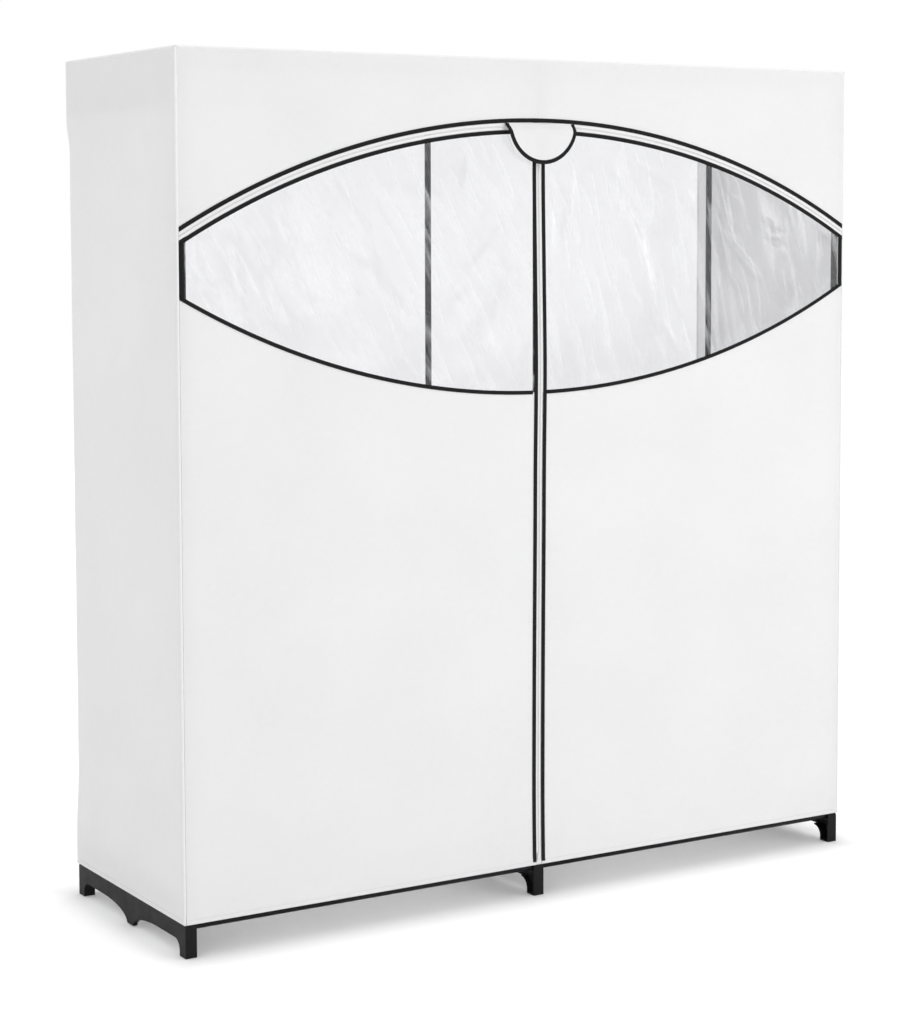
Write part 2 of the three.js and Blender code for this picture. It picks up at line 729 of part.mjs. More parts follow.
// The box that the zip's pin seats in, at the hem
const retainerFront = clothFront - zipProud - seatGap;
const retainerFrom = [-zipEdge, retainerFront, centreTapeFoot];
const retainerTo = [-centreTapeEdge + seatGap, retainerFront - retainerThickness, centreTapeFoot + retainerHeight];
addPiece(leftDoor, 'zip_retainer', boxBetween(retainerFrom, retainerTo), sliderMetal);

// The flap stands out in front of the hems, so the whole is set back by half of that to stand in the middle
// of its bounding box.
wardrobe.position.y = (flapFront - hemProud) / 2;

export default wardrobe;
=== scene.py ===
# %% [markdown]
# # A portable fabric wardrobe
#
# A steel tube frame on moulded plastic feet, with a pale sewn cover pulled over it. Two zipped doors close
# the front, each with a clear window under the arch. This lesson dresses the imported solids: every hung cloth,
# film, tape, cord and zip becomes a surface worked out with numpy, and the hard parts get rounded edges.
#
# The solids are loaded first, as a fixed frame that says where everything goes and what moves with what.

# %% Load the frame
import math

import bmesh
import bpy
import numpy as np
from mathutils import Matrix, Vector


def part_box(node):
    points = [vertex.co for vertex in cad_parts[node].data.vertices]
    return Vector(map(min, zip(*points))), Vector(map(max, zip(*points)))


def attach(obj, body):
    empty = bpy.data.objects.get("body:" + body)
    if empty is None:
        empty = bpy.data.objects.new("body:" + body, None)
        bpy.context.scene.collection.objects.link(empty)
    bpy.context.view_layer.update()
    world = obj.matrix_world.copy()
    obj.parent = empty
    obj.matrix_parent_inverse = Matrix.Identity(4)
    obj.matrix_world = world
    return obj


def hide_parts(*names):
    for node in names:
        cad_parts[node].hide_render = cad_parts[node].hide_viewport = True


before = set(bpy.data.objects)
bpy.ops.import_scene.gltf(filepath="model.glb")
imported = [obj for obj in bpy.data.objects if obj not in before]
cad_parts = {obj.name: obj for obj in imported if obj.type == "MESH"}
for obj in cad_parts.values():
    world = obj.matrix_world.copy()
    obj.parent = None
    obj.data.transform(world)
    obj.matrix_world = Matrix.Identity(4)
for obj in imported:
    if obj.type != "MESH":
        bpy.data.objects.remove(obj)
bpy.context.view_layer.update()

# %% [markdown]
# ## Sizes
#
# The sizes are in millimetres, as on the drawing, and the same numbers as the solids'. X runs to the right, Y
# to the back and Z up. Blender works in metres, so each mesh is scaled once, where it is made. The arch and
# the sill are arcs, each about its own centre on the middle line, so their tapes and zips are given by their
# radii.

# %% Sizes that the pieces share
MM = 0.001
TAU = math.tau
HANDS = {"left": -1, "right": 1}
# The cloth's thickness, the cover's outer faces, and the hem: its edges, its fold and its stitches.
CLOTH = 1.2
SEAM_INSET = 0.6
FRONT_OUT = -238.75
BACK_OUT = 254.65
SIDE_OUT = 761.2
TOP_OUT = 1625.2
HEM_BOTTOM = 62.0
HEM_TOP = 73.0
HEM_PROUD = 0.8
HEM_STEP = 3.0
STITCH_BELOW = 2.5
# The piping's radius and the seams that it lies on.
CORD_RADIUS = 2.05
CORD_SHIFT = 0.1
PIPING_SIDE = 760.0
PIPING_FRONT = -237.55
PIPING_BACK = 253.45
PIPING_TOP = 1624.0
# The doors' edges, the radii from the valance's tape down to the window, and the sill.
DOOR_OUTER = 757.7
DOOR_INNER = 5.8
ARCH_CENTRE = 0.332
ARCH_TAPE_LOW = 1505.17
ARCH_TAPE_WIDTH = 8.0
ARCH_ZIP_OUTER = 1505.0
ARCH_ZIP_SPLIT = 1498.47
ARCH_ZIP_INNER = 1492.07
WINDOW_ARCH = 1491.47
WINDOW_TAPE_LOW = 1483.77
WINDOW_TAPE_WIDTH = 8.0
SILL_CENTRE = 2547.4
SILL_RADIUS = 1558.4
SILL_TAPE_WIDTH = 7.5
# The upright tapes, at the window's outer end and beside the centre zip.
SIDE_TAPE_WIDTH = 9.6
CENTRE_TAPE_INNER = 5.5
CENTRE_TAPE_OUTER = 14.8
CENTRE_TOP = 1491.8
TAPE_BACK = -238.72
print("cover:", 2 * SIDE_OUT, "mm wide and", BACK_OUT - FRONT_OUT, "mm deep over the cloth")

# %% [markdown]
# ## From arrays to meshes
#
# A surface here is a function of two parameters, worked out on a grid of rows and columns. The grid's points
# go into a mesh as one array, and its faces follow from the grid alone. Each point keeps its two flat
# coordinates as a UV map, in metres, so a weave can follow the cloth. Solidify then gives a sheet its
# thickness, inwards. Weighted normals keep the narrow rim of a sheet from shading the wide faces beside it.
# At last each piece is given to the body that it moves with, and to the solids it stands for.

# %% Helpers that make a mesh
def grid_faces(rows, columns, wrap=False, close=False):
    """Quads between neighbours on a grid. wrap joins the last column to the first, and close the last row."""
    index = np.arange(rows * columns).reshape(rows, columns)
    if close:
        index = np.vstack([index, index[:1]])
    if wrap:
        index = np.hstack([index, index[:, :1]])
    corners = [index[:-1, :-1], index[1:, :-1], index[1:, 1:], index[:-1, 1:]]
    return np.stack(corners, axis=-1).reshape(-1, 4)


def flat_map(across, up):
    """The flat coordinates of a piece's points, from millimetres to one pair of metres a point."""
    return np.stack(np.broadcast_arrays(across, up), axis=-1).reshape(-1, 2) * MM


def make_piece(name, points, faces, material, flat=None):
    """A mesh object from points in millimetres, with flat coordinates in metres as its UV map."""
    mesh = bpy.data.meshes.new(name)
    mesh.from_pydata(np.asarray(points, dtype=float).reshape(-1, 3) * MM, [], faces)
    if flat is not None:
        corner = np.zeros(len(mesh.loops), dtype=np.int32)
        mesh.loops.foreach_get("vertex_index", corner)
        layer = mesh.uv_layers.new(name="Flat")
        layer.data.foreach_set("uv", np.asarray(flat, dtype=np.float32)[corner].ravel())
    mesh.shade_smooth()
    mesh.materials.append(material)
    piece = bpy.data.objects.new(name, mesh)
    bpy.context.scene.collection.objects.link(piece)
    return piece


def thicken(piece, thickness):
    """Gives a sheet its thickness, inwards from the face that shows."""
    solid = piece.modifiers.new("Thickness", "SOLIDIFY")
    solid.thickness = thickness * MM
    solid.offset = -1
    piece.modifiers.new("Face normals", "WEIGHTED_NORMAL")
    return piece


def adopt(piece, body, slot, *nodes):
    """Puts a piece on its body and lets it stand for its solids. slot is not used."""
    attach(piece, body)
    if nodes:
        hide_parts(*nodes)
    return piece


def smooth_step(value):
    """3t^2 - 2t^3, with t held between 0 and 1."""
    t = np.clip(value, 0, 1)
    return t * t * (3 - 2 * t)


print("helpers ready: grid_faces, make_piece, thicken, adopt")

# %% [markdown]
# ## Sections carried along a path
#
# Tapes, cords, zip chains and tubes are all one closed outline that travels along a line. At each step the
# outline's points are set out along two directions, so the whole strip is one sum of arrays. Both ends are
# closed with one face, and the faces are turned outwards together.

# %% Helpers that carry a section
NO_PATH_STARTS_ALONG = (0.31, 0.62, 0.72)


def rounded_section(half_width, half_height, count=14, square=0.45):
    """A rounded oblong: x = w sgn(cos a)|cos a|^q and y = h sgn(sin a)|sin a|^q, for a once round."""
    angle = np.linspace(0, TAU, count, endpoint=False)
    across = half_width * np.sign(np.cos(angle)) * np.abs(np.cos(angle)) ** square
    proud = half_height * np.sign(np.sin(angle)) * np.abs(np.sin(angle)) ** square
    return np.stack([across, proud], axis=-1)


def face_outwards(piece):
    """Turns every face of a closed mesh outwards."""
    shell = bmesh.new()
    shell.from_mesh(piece.data)
    bmesh.ops.recalc_face_normals(shell, faces=shell.faces)
    shell.to_mesh(piece.data)
    shell.free()
    return piece


def strip_piece(name, points, material, along=None, across=None):
    """Closes a rows by columns array of section points into a solid strip with capped ends."""
    rows, columns = points.shape[:2]
    faces = grid_faces(rows, columns, wrap=True).tolist()
    faces.append(list(range(columns)))
    faces.append(list(range((rows - 1) * columns, rows * columns)))
    flat = None if along is None else flat_map(along, across)
    return face_outwards(make_piece(name, points, faces, material, flat))


def cord_points(path, radius, sides=12):
    """A round section of a given radius carried along a path, set square to it by parallel transport."""
    path = np.asarray(path, dtype=float)
    ahead = np.gradient(path, axis=0)
    ahead /= np.linalg.norm(ahead, axis=1, keepdims=True)
    start = np.cross(ahead[0], NO_PATH_STARTS_ALONG)
    side = np.broadcast_to(start / np.linalg.norm(start), path.shape)
    side = side - ahead * np.sum(side * ahead, axis=1, keepdims=True)
    side = side / np.linalg.norm(side, axis=1, keepdims=True)
    other = np.cross(ahead, side)
    angle = np.linspace(0, TAU, sides, endpoint=False)
    cosine, sine = np.cos(angle)[None, :, None], np.sin(angle)[None, :, None]
    return path[:, None, :] + radius * (cosine * side[:, None, :] + sine * other[:, None, :])


print("helpers ready: rounded_section, strip_piece, cord_points")

# %% [markdown]
# ## Materials: a colour and a node
#
# Each material starts from what the real one is. Colours are written as sRGB hex values and turned to linear
# by one function. One small function adds a node with its settings and links.

# %% Helpers for materials
def colour(code):
    """A hex sRGB colour as linear red, green, blue and alpha."""
    parts = np.array([int(code[i:i + 2], 16) for i in (1, 3, 5)]) / 255
    linear = np.where(parts <= 0.04045, parts / 12.92, ((parts + 0.055) / 1.055) ** 2.4)
    return (*linear.tolist(), 1.0)


def node(tree, kind, inputs=None, **settings):
    """Adds one node. settings are its own properties, and inputs maps a socket to a value or another socket."""
    made = tree.nodes.new(kind)
    for name, value in settings.items():
        setattr(made, name, value)
    for socket, value in (inputs or {}).items():
        if isinstance(value, bpy.types.NodeSocket):
            tree.links.new(value, made.inputs[socket])
        else:
            made.inputs[socket].default_value = value
    return made


def new_material(name):
    """A node material without a surface yet, its tree, and the node that gives its coordinates."""
    material = bpy.data.materials.new(name)
    material.use_nodes = True
    material.node_tree.nodes.clear()
    return material, material.node_tree, node(material.node_tree, "ShaderNodeTexCoord")


def per_metre(size):
    """The scale of a texture whose features are size millimetres apart."""
    return 1 / (size * MM)


def finish_surface(tree, shader):
    """Sends a shader to the material's output."""
    return node(tree, "ShaderNodeOutputMaterial", {"Surface": shader})


print("helpers ready: colour, node, new_material")

# %% [markdown]
# ### Cover cloth
#
# The cover is spunbond polypropylene: a felt of fine fibres, pressed together by a pattern of small points.
# It gives the eye a matte off-white with faint clouds where the fibres lie thicker, and it lets some light
# through, which is why the inside of the real wardrobe is so bright. The pressed points are 1.5 mm apart.
# They are drawn at 2.4 mm, the finest that still shows in a close view. The top and the back are made of
# lighter cloth than the walls that show, and let more light in.

# %% Spunbond polypropylene
CLOTH_PALE = "#fbfbfb"
CLOTH_THICK = "#f7f7f7"
POINT_PITCH = 2.4
FIBRE_CLOUD = 14.0
BROAD_CLOUD = 230.0


def spunbond(name, through):
    """Pressed fibre cloth that lets a share of the light through."""
    material, tree, place = new_material(name)
    broad = node(tree, "ShaderNodeTexNoise", {
        "Vector": place.outputs["Object"], "Scale": per_metre(BROAD_CLOUD), "Detail": 3.0, "Roughness": 0.55})
    fibres = node(tree, "ShaderNodeTexNoise", {
        "Vector": place.outputs["Object"], "Scale": per_metre(FIBRE_CLOUD), "Detail": 5.0, "Roughness": 0.7})
    clouds = node(tree, "ShaderNodeMix", {
        "Factor": 0.45, "A": broad.outputs["Fac"], "B": fibres.outputs["Fac"]}, data_type="FLOAT")
    shade = node(tree, "ShaderNodeValToRGB", {"Fac": clouds.outputs["Result"]})
    shade.color_ramp.elements[0].position = 0.34
    shade.color_ramp.elements[0].color = colour(CLOTH_THICK)
    shade.color_ramp.elements[1].position = 0.62
    shade.color_ramp.elements[1].color = colour(CLOTH_PALE)
    slant = node(tree, "ShaderNodeMapping", {"Vector": place.outputs["UV"], "Rotation": (0, 0, math.pi / 4)})
    points = node(tree, "ShaderNodeTexVoronoi", {
        "Vector": slant.outputs["Vector"], "Scale": per_metre(POINT_PITCH), "Randomness": 0.0},
        voronoi_dimensions="2D")
    pressed = node(tree, "ShaderNodeBump", {
        "Height": points.outputs["Distance"], "Strength": 0.25, "Distance": 0.25 * MM})
    felted = node(tree, "ShaderNodeBump", {
        "Height": fibres.outputs["Fac"], "Normal": pressed.outputs["Normal"], "Strength": 0.35,
        "Distance": 1.0 * MM})
    matte = node(tree, "ShaderNodeBsdfPrincipled", {
        "Base Color": shade.outputs["Color"], "Normal": felted.outputs["Normal"], "Roughness": 0.85,
        "IOR": 1.49})
    light = node(tree, "ShaderNodeBsdfTranslucent", {
        "Color": shade.outputs["Color"], "Normal": felted.outputs["Normal"]})
    cloth = node(tree, "ShaderNodeMixShader", {0: through, 1: matte.outputs[0], 2: light.outputs[0]})
    finish_surface(tree, cloth.outputs[0])
    return material


cover_cloth = spunbond("spunbond polypropylene cloth", 0.2)
top_material = spunbond("light spunbond polypropylene cloth", 0.5)
back_cloth = spunbond("thin spunbond polypropylene cloth", 0.86)
print("made", cover_cloth.name, "and", back_cloth.name)

# %% [markdown]
# ### Piping, zip tape and thread
#
# The seams are finished with a corded piping: a strip of the same white cloth folded over a string. Zip tape
# is woven polyester, and the chain on it is a coil of nylon. Both are whiter and a little shinier than the
# cover.

# %% White trims
def woven_white(name, pale, deep, thread, roughness):
    """A fine white weave whose threads are thread millimetres apart."""
    material, tree, place = new_material(name)
    lie = node(tree, "ShaderNodeTexNoise", {
        "Vector": place.outputs["Object"], "Scale": per_metre(thread * 12), "Detail": 3.0})
    weave = node(tree, "ShaderNodeTexVoronoi", {
        "Vector": place.outputs["Object"], "Scale": per_metre(thread), "Randomness": 0.35})
    shade = node(tree, "ShaderNodeMix", {
        "Factor": lie.outputs["Fac"], "A": colour(pale), "B": colour(deep)}, data_type="RGBA")
    ribs = node(tree, "ShaderNodeBump", {
        "Height": weave.outputs["Distance"], "Strength": 0.4, "Distance": 0.2 * MM})
    surface = node(tree, "ShaderNodeBsdfPrincipled", {
        "Base Color": shade.outputs["Result"], "Normal": ribs.outputs["Normal"], "Roughness": roughness,
        "IOR": 1.49})
    finish_surface(tree, surface.outputs[0])
    return material


piping_cloth = woven_white("corded cotton piping", "#f9f9f9", "#f0f0f0", 0.9, 0.75)
zip_cloth = woven_white("woven polyester zip tape", "#fbfbfb", "#f3f3f3", 0.7, 0.7)
coil_nylon = woven_white("extruded nylon coil", "#e9e9e9", "#dcdcdc", 1.4, 0.4)
sewing_thread = woven_white("spun polyester thread", "#dededc", "#cbcbc9", 0.5, 0.7)
print("made", piping_cloth.name, "and", zip_cloth.name)

# %% [markdown]
# ### Binding tape
#
# The black edges are a ribbed polyester tape, folded over the raw edges and sewn down with one line of
# stitches. Its ribs run across it, 1.1 mm apart. The tape has its own UV map, along and across, so the ribs
# and stitches follow every curve.

# %% Ribbed binding tape
RIB_PITCH = 1.1
STITCH_PITCH = 3.6
STITCH_SHARE = 0.72
STITCH_LINE = 2.3
STITCH_HALF_WIDTH = 0.35


def binding_tape(name):
    """Black ribbed tape with a line of stitches near its inner edge."""
    material, tree, place = new_material(name)
    split = node(tree, "ShaderNodeSeparateXYZ", {"Vector": place.outputs["UV"]})
    turns = node(tree, "ShaderNodeMath", {
        0: split.outputs["X"], 1: TAU * per_metre(RIB_PITCH)}, operation="MULTIPLY")
    ribs = node(tree, "ShaderNodeMath", {0: turns.outputs[0]}, operation="SINE")
    side = node(tree, "ShaderNodeMath", {0: split.outputs["Y"], 1: STITCH_LINE * MM}, operation="SUBTRACT")
    away = node(tree, "ShaderNodeMath", {0: side.outputs[0]}, operation="ABSOLUTE")
    on_line = node(tree, "ShaderNodeMath", {
        0: away.outputs[0], 1: STITCH_HALF_WIDTH * MM}, operation="LESS_THAN")
    step = node(tree, "ShaderNodeMath", {
        0: split.outputs["X"], 1: per_metre(STITCH_PITCH)}, operation="MULTIPLY")
    part = node(tree, "ShaderNodeMath", {0: step.outputs[0]}, operation="FRACT")
    in_stitch = node(tree, "ShaderNodeMath", {0: part.outputs[0], 1: STITCH_SHARE}, operation="LESS_THAN")
    stitch = node(tree, "ShaderNodeMath", {
        0: on_line.outputs[0], 1: in_stitch.outputs[0]}, operation="MULTIPLY")
    lint = node(tree, "ShaderNodeTexNoise", {
        "Vector": place.outputs["Object"], "Scale": per_metre(25.0), "Detail": 4.0})
    shade = node(tree, "ShaderNodeMix", {
        "Factor": lint.outputs["Fac"], "A": colour("#131314"), "B": colour("#1a1a1b")}, data_type="RGBA")
    thread = node(tree, "ShaderNodeMix", {
        "Factor": stitch.outputs[0], "A": shade.outputs["Result"], "B": colour("#29292a")}, data_type="RGBA")
    ribbed = node(tree, "ShaderNodeBump", {"Height": ribs.outputs[0], "Strength": 0.5, "Distance": 0.12 * MM})
    sewn = node(tree, "ShaderNodeBump", {
        "Height": stitch.outputs[0], "Normal": ribbed.outputs["Normal"], "Strength": 0.6,
        "Distance": 0.25 * MM})
    surface = node(tree, "ShaderNodeBsdfPrincipled", {
        "Base Color": thread.outputs["Result"], "Normal": sewn.outputs["Normal"], "Roughness": 0.75,
        "IOR": 1.5, "Specular IOR Level": 0.18})
    finish_surface(tree, surface.outputs[0])
    return material


black_tape = binding_tape("ribbed polyester binding tape")
print("made", black_tape.name)

# %% [markdown]
# ### Clear film
#
# The windows are calendered PVC film. It shows what is behind it with a slight milkiness, which lies in
# streaks along the folds that its packing left, and it mirrors the lamps. The share that each face mirrors
# grows towards grazing: F = f + (1 - f) g^5, where g is Layer Weight's facing value. That holds from both
# sides of the film, and f, 0.02 a face, lies under the 0.044 of a clean face, because the dark poles show so
# well in the photo. The streaks are a noise that is stretched along the folds, 24 by 150 mm. Where it is weak
# the film is clear.

# %% Calendered PVC film
FILM_HAZE_CLEAR = 0.0
FILM_HAZE_MILKY = 0.22
FILM_MIRROR = 0.02
STREAK_FROM = 0.5
STREAK_TO = 0.72
STREAK_WIDE = 24.0
STREAK_LONG = 150.0


def clear_film(name, slant):
    """Transparent film with a faint haze in streaks along slant, and a mirror that grows towards grazing."""
    material, tree, place = new_material(name)
    turned = node(tree, "ShaderNodeMapping", {"Vector": place.outputs["UV"], "Rotation": (0, 0, -slant)})
    stretched = node(tree, "ShaderNodeVectorMath", {
        0: turned.outputs["Vector"], 1: (per_metre(STREAK_LONG), per_metre(STREAK_WIDE), 1.0)},
        operation="MULTIPLY")
    streaks = node(tree, "ShaderNodeTexNoise", {
        "Vector": stretched.outputs["Vector"], "Scale": 1.0, "Detail": 2.5, "Roughness": 0.5,
        "Distortion": 0.8})
    milk = node(tree, "ShaderNodeMapRange", {
        "Value": streaks.outputs["Fac"], "From Min": STREAK_FROM, "From Max": STREAK_TO,
        "To Min": FILM_HAZE_CLEAR, "To Max": FILM_HAZE_MILKY})
    relief = node(tree, "ShaderNodeBump", {
        "Height": streaks.outputs["Fac"], "Strength": 0.5, "Distance": 0.8 * MM})
    clear = node(tree, "ShaderNodeBsdfTransparent", {"Color": colour("#fdfdfe")})
    haze = node(tree, "ShaderNodeBsdfPrincipled", {
        "Base Color": colour("#f8f9fb"), "Normal": relief.outputs["Normal"], "Roughness": 0.5, "IOR": 1.53})
    body = node(tree, "ShaderNodeMixShader", {
        0: milk.outputs["Result"], 1: clear.outputs[0], 2: haze.outputs[0]})
    facing = node(tree, "ShaderNodeLayerWeight", {"Blend": 0.5, "Normal": relief.outputs["Normal"]})
    grazing = node(tree, "ShaderNodeMath", {0: facing.outputs["Facing"], 1: 5.0}, operation="POWER")
    mirror = node(tree, "ShaderNodeMath", {
        0: grazing.outputs[0], 1: 1 - FILM_MIRROR, 2: FILM_MIRROR}, operation="MULTIPLY_ADD")
    gloss = node(tree, "ShaderNodeBsdfAnisotropic", {
        "Color": colour("#ffffff"), "Roughness": 0.13, "Normal": relief.outputs["Normal"]})
    film = node(tree, "ShaderNodeMixShader", {0: mirror.outputs[0], 1: body.outputs[0], 2: gloss.outputs[0]})
    finish_surface(tree, film.outputs[0])
    return material


window_film = {
    "left": clear_film("calendered clear PVC film, left door", math.radians(-62)),
    "right": clear_film("calendered clear PVC film, right door", math.radians(-76)),
}
print("made", window_film["left"].name, "and", window_film["right"].name)

# %% [markdown]
# ### Moulded plastic, coated steel and zip metal
#
# The feet and top frames are injection-moulded polypropylene, black with a fine spark-eroded grain that keeps
# it from shining. The tubes are powder-coated steel, a little glossier, with the soft ripple of melted
# powder. The sliders are die-cast zinc under dark enamel.

# %% Black hard materials
def grained_black(name, pale, deep, grain, depth, roughness, shine, metal=0.0):
    """A black surface with a grain of a given size and depth in millimetres, and soft scuffs."""
    material, tree, place = new_material(name)
    pits = node(tree, "ShaderNodeTexNoise", {
        "Vector": place.outputs["Object"], "Scale": per_metre(grain), "Detail": 2.0})
    scuffs = node(tree, "ShaderNodeTexNoise", {
        "Vector": place.outputs["Object"], "Scale": per_metre(35.0), "Detail": 5.0, "Roughness": 0.65})
    shade = node(tree, "ShaderNodeMix", {
        "Factor": scuffs.outputs["Fac"], "A": colour(deep), "B": colour(pale)}, data_type="RGBA")
    dull = node(tree, "ShaderNodeMapRange", {
        "Value": scuffs.outputs["Fac"], "From Min": 0.3, "From Max": 0.7, "To Min": roughness - 0.06,
        "To Max": roughness + 0.08})
    relief = node(tree, "ShaderNodeBump", {
        "Height": pits.outputs["Fac"], "Strength": 0.5, "Distance": depth * MM})
    surface = node(tree, "ShaderNodeBsdfPrincipled", {
        "Base Color": shade.outputs["Result"], "Normal": relief.outputs["Normal"], "Metallic": metal,
        "Roughness": dull.outputs["Result"], "IOR": 1.5, "Specular IOR Level": shine})
    finish_surface(tree, surface.outputs[0])
    return material


moulded_black = grained_black("moulded polypropylene", "#1a1a1b", "#111112", 1.6, 0.12, 0.48, 0.13)
coated_steel = grained_black("powder-coated steel", "#1a1a1c", "#111112", 3.0, 0.15, 0.34, 0.12)
slider_enamel = grained_black("enamelled die-cast zinc", "#4a4a4d", "#3a3a3d", 1.2, 0.05, 0.32, 0.5, 0.55)
print("made", moulded_black.name, coated_steel.name, slider_enamel.name)

# %% [markdown]
# ## Camera, lamps and floor
#
# The photograph was taken from the left of the front, a little below the wardrobe's top, with a long lens.
# The camera's place and direction were fitted to the corners and feet. Most of the framing comes from tilting
# the camera down, and a small shift does the rest, so the other views stay well framed.

# %% Camera
CAMERA_PLACE = (-2.5139, -4.0130, 1.3234)
CAMERA_YAW = math.radians(31.577)
CAMERA_PITCH = math.radians(4.391)
CAMERA_ROLL = math.radians(-0.157)
SENSOR = 36.0
FOCAL_LENGTH = 82.846
FRAME_SHIFT = -0.11

lens = bpy.data.cameras.new("camera")
lens.sensor_width = SENSOR
lens.lens = FOCAL_LENGTH
lens.shift_y = FRAME_SHIFT
camera = bpy.data.objects.new("camera", lens)
level = Matrix.Rotation(-CAMERA_YAW, 4, "Z") @ Matrix.Rotation(math.pi / 2 - CAMERA_PITCH, 4, "X")
camera.matrix_world = Matrix.Translation(CAMERA_PLACE) @ level @ Matrix.Rotation(CAMERA_ROLL, 4, "Z")
bpy.context.scene.collection.objects.link(camera)
bpy.context.scene.camera = camera
bpy.context.scene.view_settings.view_transform = "Standard"
print("camera", round(math.degrees(2 * math.atan(SENSOR / 2 / FOCAL_LENGTH)), 1), "degrees on the long side")

# %% [markdown]
# The room is plain white. Its light on the object is soft and comes from all round, and the camera, mirrors
# and films see it as pure white. One large lamp stands in front on the right and above, which makes the front
# a little brighter than the left side. Two narrow strip lamps stand where only the slopes of the film's folds
# mirror them into the camera, so they draw the folds as thin bright lines and light little else.

# %% World and lamps
ROOM_LIGHT = 0.945
WHITE = colour("#ffffff")


def seen_plainly(tree):
    """1 for a ray from the camera, from a mirror or through a film, and 0 for one that lights a surface."""
    path = node(tree, "ShaderNodeLightPath")
    seen = node(tree, "ShaderNodeMath", {
        0: path.outputs["Is Camera Ray"], 1: path.outputs["Is Glossy Ray"]}, operation="MAXIMUM")
    shown = node(tree, "ShaderNodeMath", {
        0: seen.outputs[0], 1: path.outputs["Is Transmission Ray"]}, operation="MAXIMUM")
    return shown.outputs[0]


room = bpy.data.worlds.new("white room")
room.use_nodes = True
room.node_tree.nodes.clear()
strength = node(room.node_tree, "ShaderNodeMix", {
    "Factor": seen_plainly(room.node_tree), "A": ROOM_LIGHT, "B": 1.0}, data_type="FLOAT")
air = node(room.node_tree, "ShaderNodeBackground", {"Color": WHITE, "Strength": strength.outputs["Result"]})
node(room.node_tree, "ShaderNodeOutputWorld", {"Surface": air.outputs[0]})
bpy.context.scene.world = room


def soft_lamp(name, place, aim, wide, high, power):
    """A rectangular lamp at a place that faces a point, in metres, with its power in watts."""
    lamp = bpy.data.lights.new(name, "AREA")
    lamp.shape = "RECTANGLE"
    lamp.size = wide
    lamp.size_y = high
    lamp.energy = power
    holder = bpy.data.objects.new(name, lamp)
    away = Vector(place) - Vector(aim)
    holder.matrix_world = Matrix.Translation(place) @ away.to_track_quat("Z", "Y").to_matrix().to_4x4()
    bpy.context.scene.collection.objects.link(holder)
    return holder


soft_lamp("key softbox", place=(2.3, -3.5, 1.75), aim=(0.0, -0.2, 1.1), wide=2.2, high=1.8, power=19.0)
soft_lamp("right strip", place=(3.0, -2.9, 1.85), aim=(0.0, -0.25, 1.3), wide=0.05, high=1.3, power=4.0)
soft_lamp("left strip", place=(0.9, -4.3, 0.75), aim=(-0.1, -0.25, 1.3), wide=0.04, high=1.3, power=3.0)
print("room light", ROOM_LIGHT, "and", len(bpy.data.lights), "lamps")

# %% [markdown]
# The floor is matte white paint, rolled on. It keeps the shadow under the wardrobe and turns to the room's
# white within 14 cm of it, as in the photo. A glow that only the camera, mirrors and films see does that, so
# it adds no light to the object. It grows with the distance beyond the feet: the larger of |x| - 0.70 m and
# |y| - 0.20 m.
# The glow is nothing over the footprint, so the floor there is darker whatever the light: painted shadow.

# %% Floor
FOOTPRINT = (0.70, 0.20, 0.0)
SHADOW_REACH = 0.14
BACKDROP_GLOW = 0.3
ROLLER_GRAIN = 3.0
FLOOR_HALF = 14000.0
FLOOR_DROP = 0.4
FLOOR_LINES = 9

floor_paint, tree, place = new_material("matte white floor paint")
speckle = node(tree, "ShaderNodeTexNoise", {
    "Vector": place.outputs["Object"], "Scale": per_metre(ROLLER_GRAIN)})
roller = node(tree, "ShaderNodeBump", {
    "Height": speckle.outputs["Fac"], "Strength": 0.1, "Distance": 0.2 * MM})
paint = node(tree, "ShaderNodeBsdfPrincipled", {
    "Base Color": colour("#f1f1f1"), "Normal": roller.outputs["Normal"], "Roughness": 0.9})
folded = node(tree, "ShaderNodeVectorMath", {0: place.outputs["Object"]}, operation="ABSOLUTE")
beyond = node(tree, "ShaderNodeVectorMath", {0: folded.outputs["Vector"], 1: FOOTPRINT}, operation="SUBTRACT")
split = node(tree, "ShaderNodeSeparateXYZ", {"Vector": beyond.outputs["Vector"]})
reach = node(tree, "ShaderNodeMath", {0: split.outputs["X"], 1: split.outputs["Y"]}, operation="MAXIMUM")
# Painted shadow: the glow is nothing over the footprint and reaches full strength 14 cm beyond it.
backdrop_and_painted_shadow = node(tree, "ShaderNodeMapRange", {
    "Value": reach.outputs[0], "From Min": 0.0, "From Max": SHADOW_REACH, "To Min": 0.0,
    "To Max": BACKDROP_GLOW}, interpolation_type="SMOOTHSTEP")
lift = node(tree, "ShaderNodeMath", {
    0: seen_plainly(tree), 1: backdrop_and_painted_shadow.outputs["Result"]}, operation="MULTIPLY")
glow = node(tree, "ShaderNodeEmission", {"Color": WHITE, "Strength": lift.outputs[0]})
both = node(tree, "ShaderNodeAddShader", {0: paint.outputs[0], 1: glow.outputs[0]})
finish_surface(tree, both.outputs[0])

line = np.linspace(-FLOOR_HALF, FLOOR_HALF, FLOOR_LINES)
floor_x, floor_y = np.meshgrid(line, line, indexing="ij")
floor_points = np.stack([floor_x, floor_y, np.full_like(floor_x, -FLOOR_DROP)], axis=-1)
floor = make_piece("floor", floor_points, grid_faces(FLOOR_LINES, FLOOR_LINES), floor_paint)
print("floor", 2 * FLOOR_HALF * MM, "m square")

# %% [markdown]
# ## Hung cloth
#
# Each wall of the cover is one cut of cloth. It is held by the seams round its edge and hangs free between
# them, so it is flat along the seams and drifts in and out by a millimetre or two in the middle. A hem folds
# its lower edge double, which makes the last 11 mm stand a little prouder. One function makes them all: for a
# place s across and a share t up the wall, the height is low + (high - low) t, and the cloth stands out by
# the hem, plus the drift times a mask that is 0 at the seams.

# %% Drift of hung cloth
WAVES = 24
UPRIGHT_STRETCH = 0.55
MIDDLE_HEIGHT = 800.0
PUCKER_HEIGHT = 0.11
PUCKER_REACH = 5.0
PUCKER_PITCH = 17.0
PUCKER_SWAY = 93.0


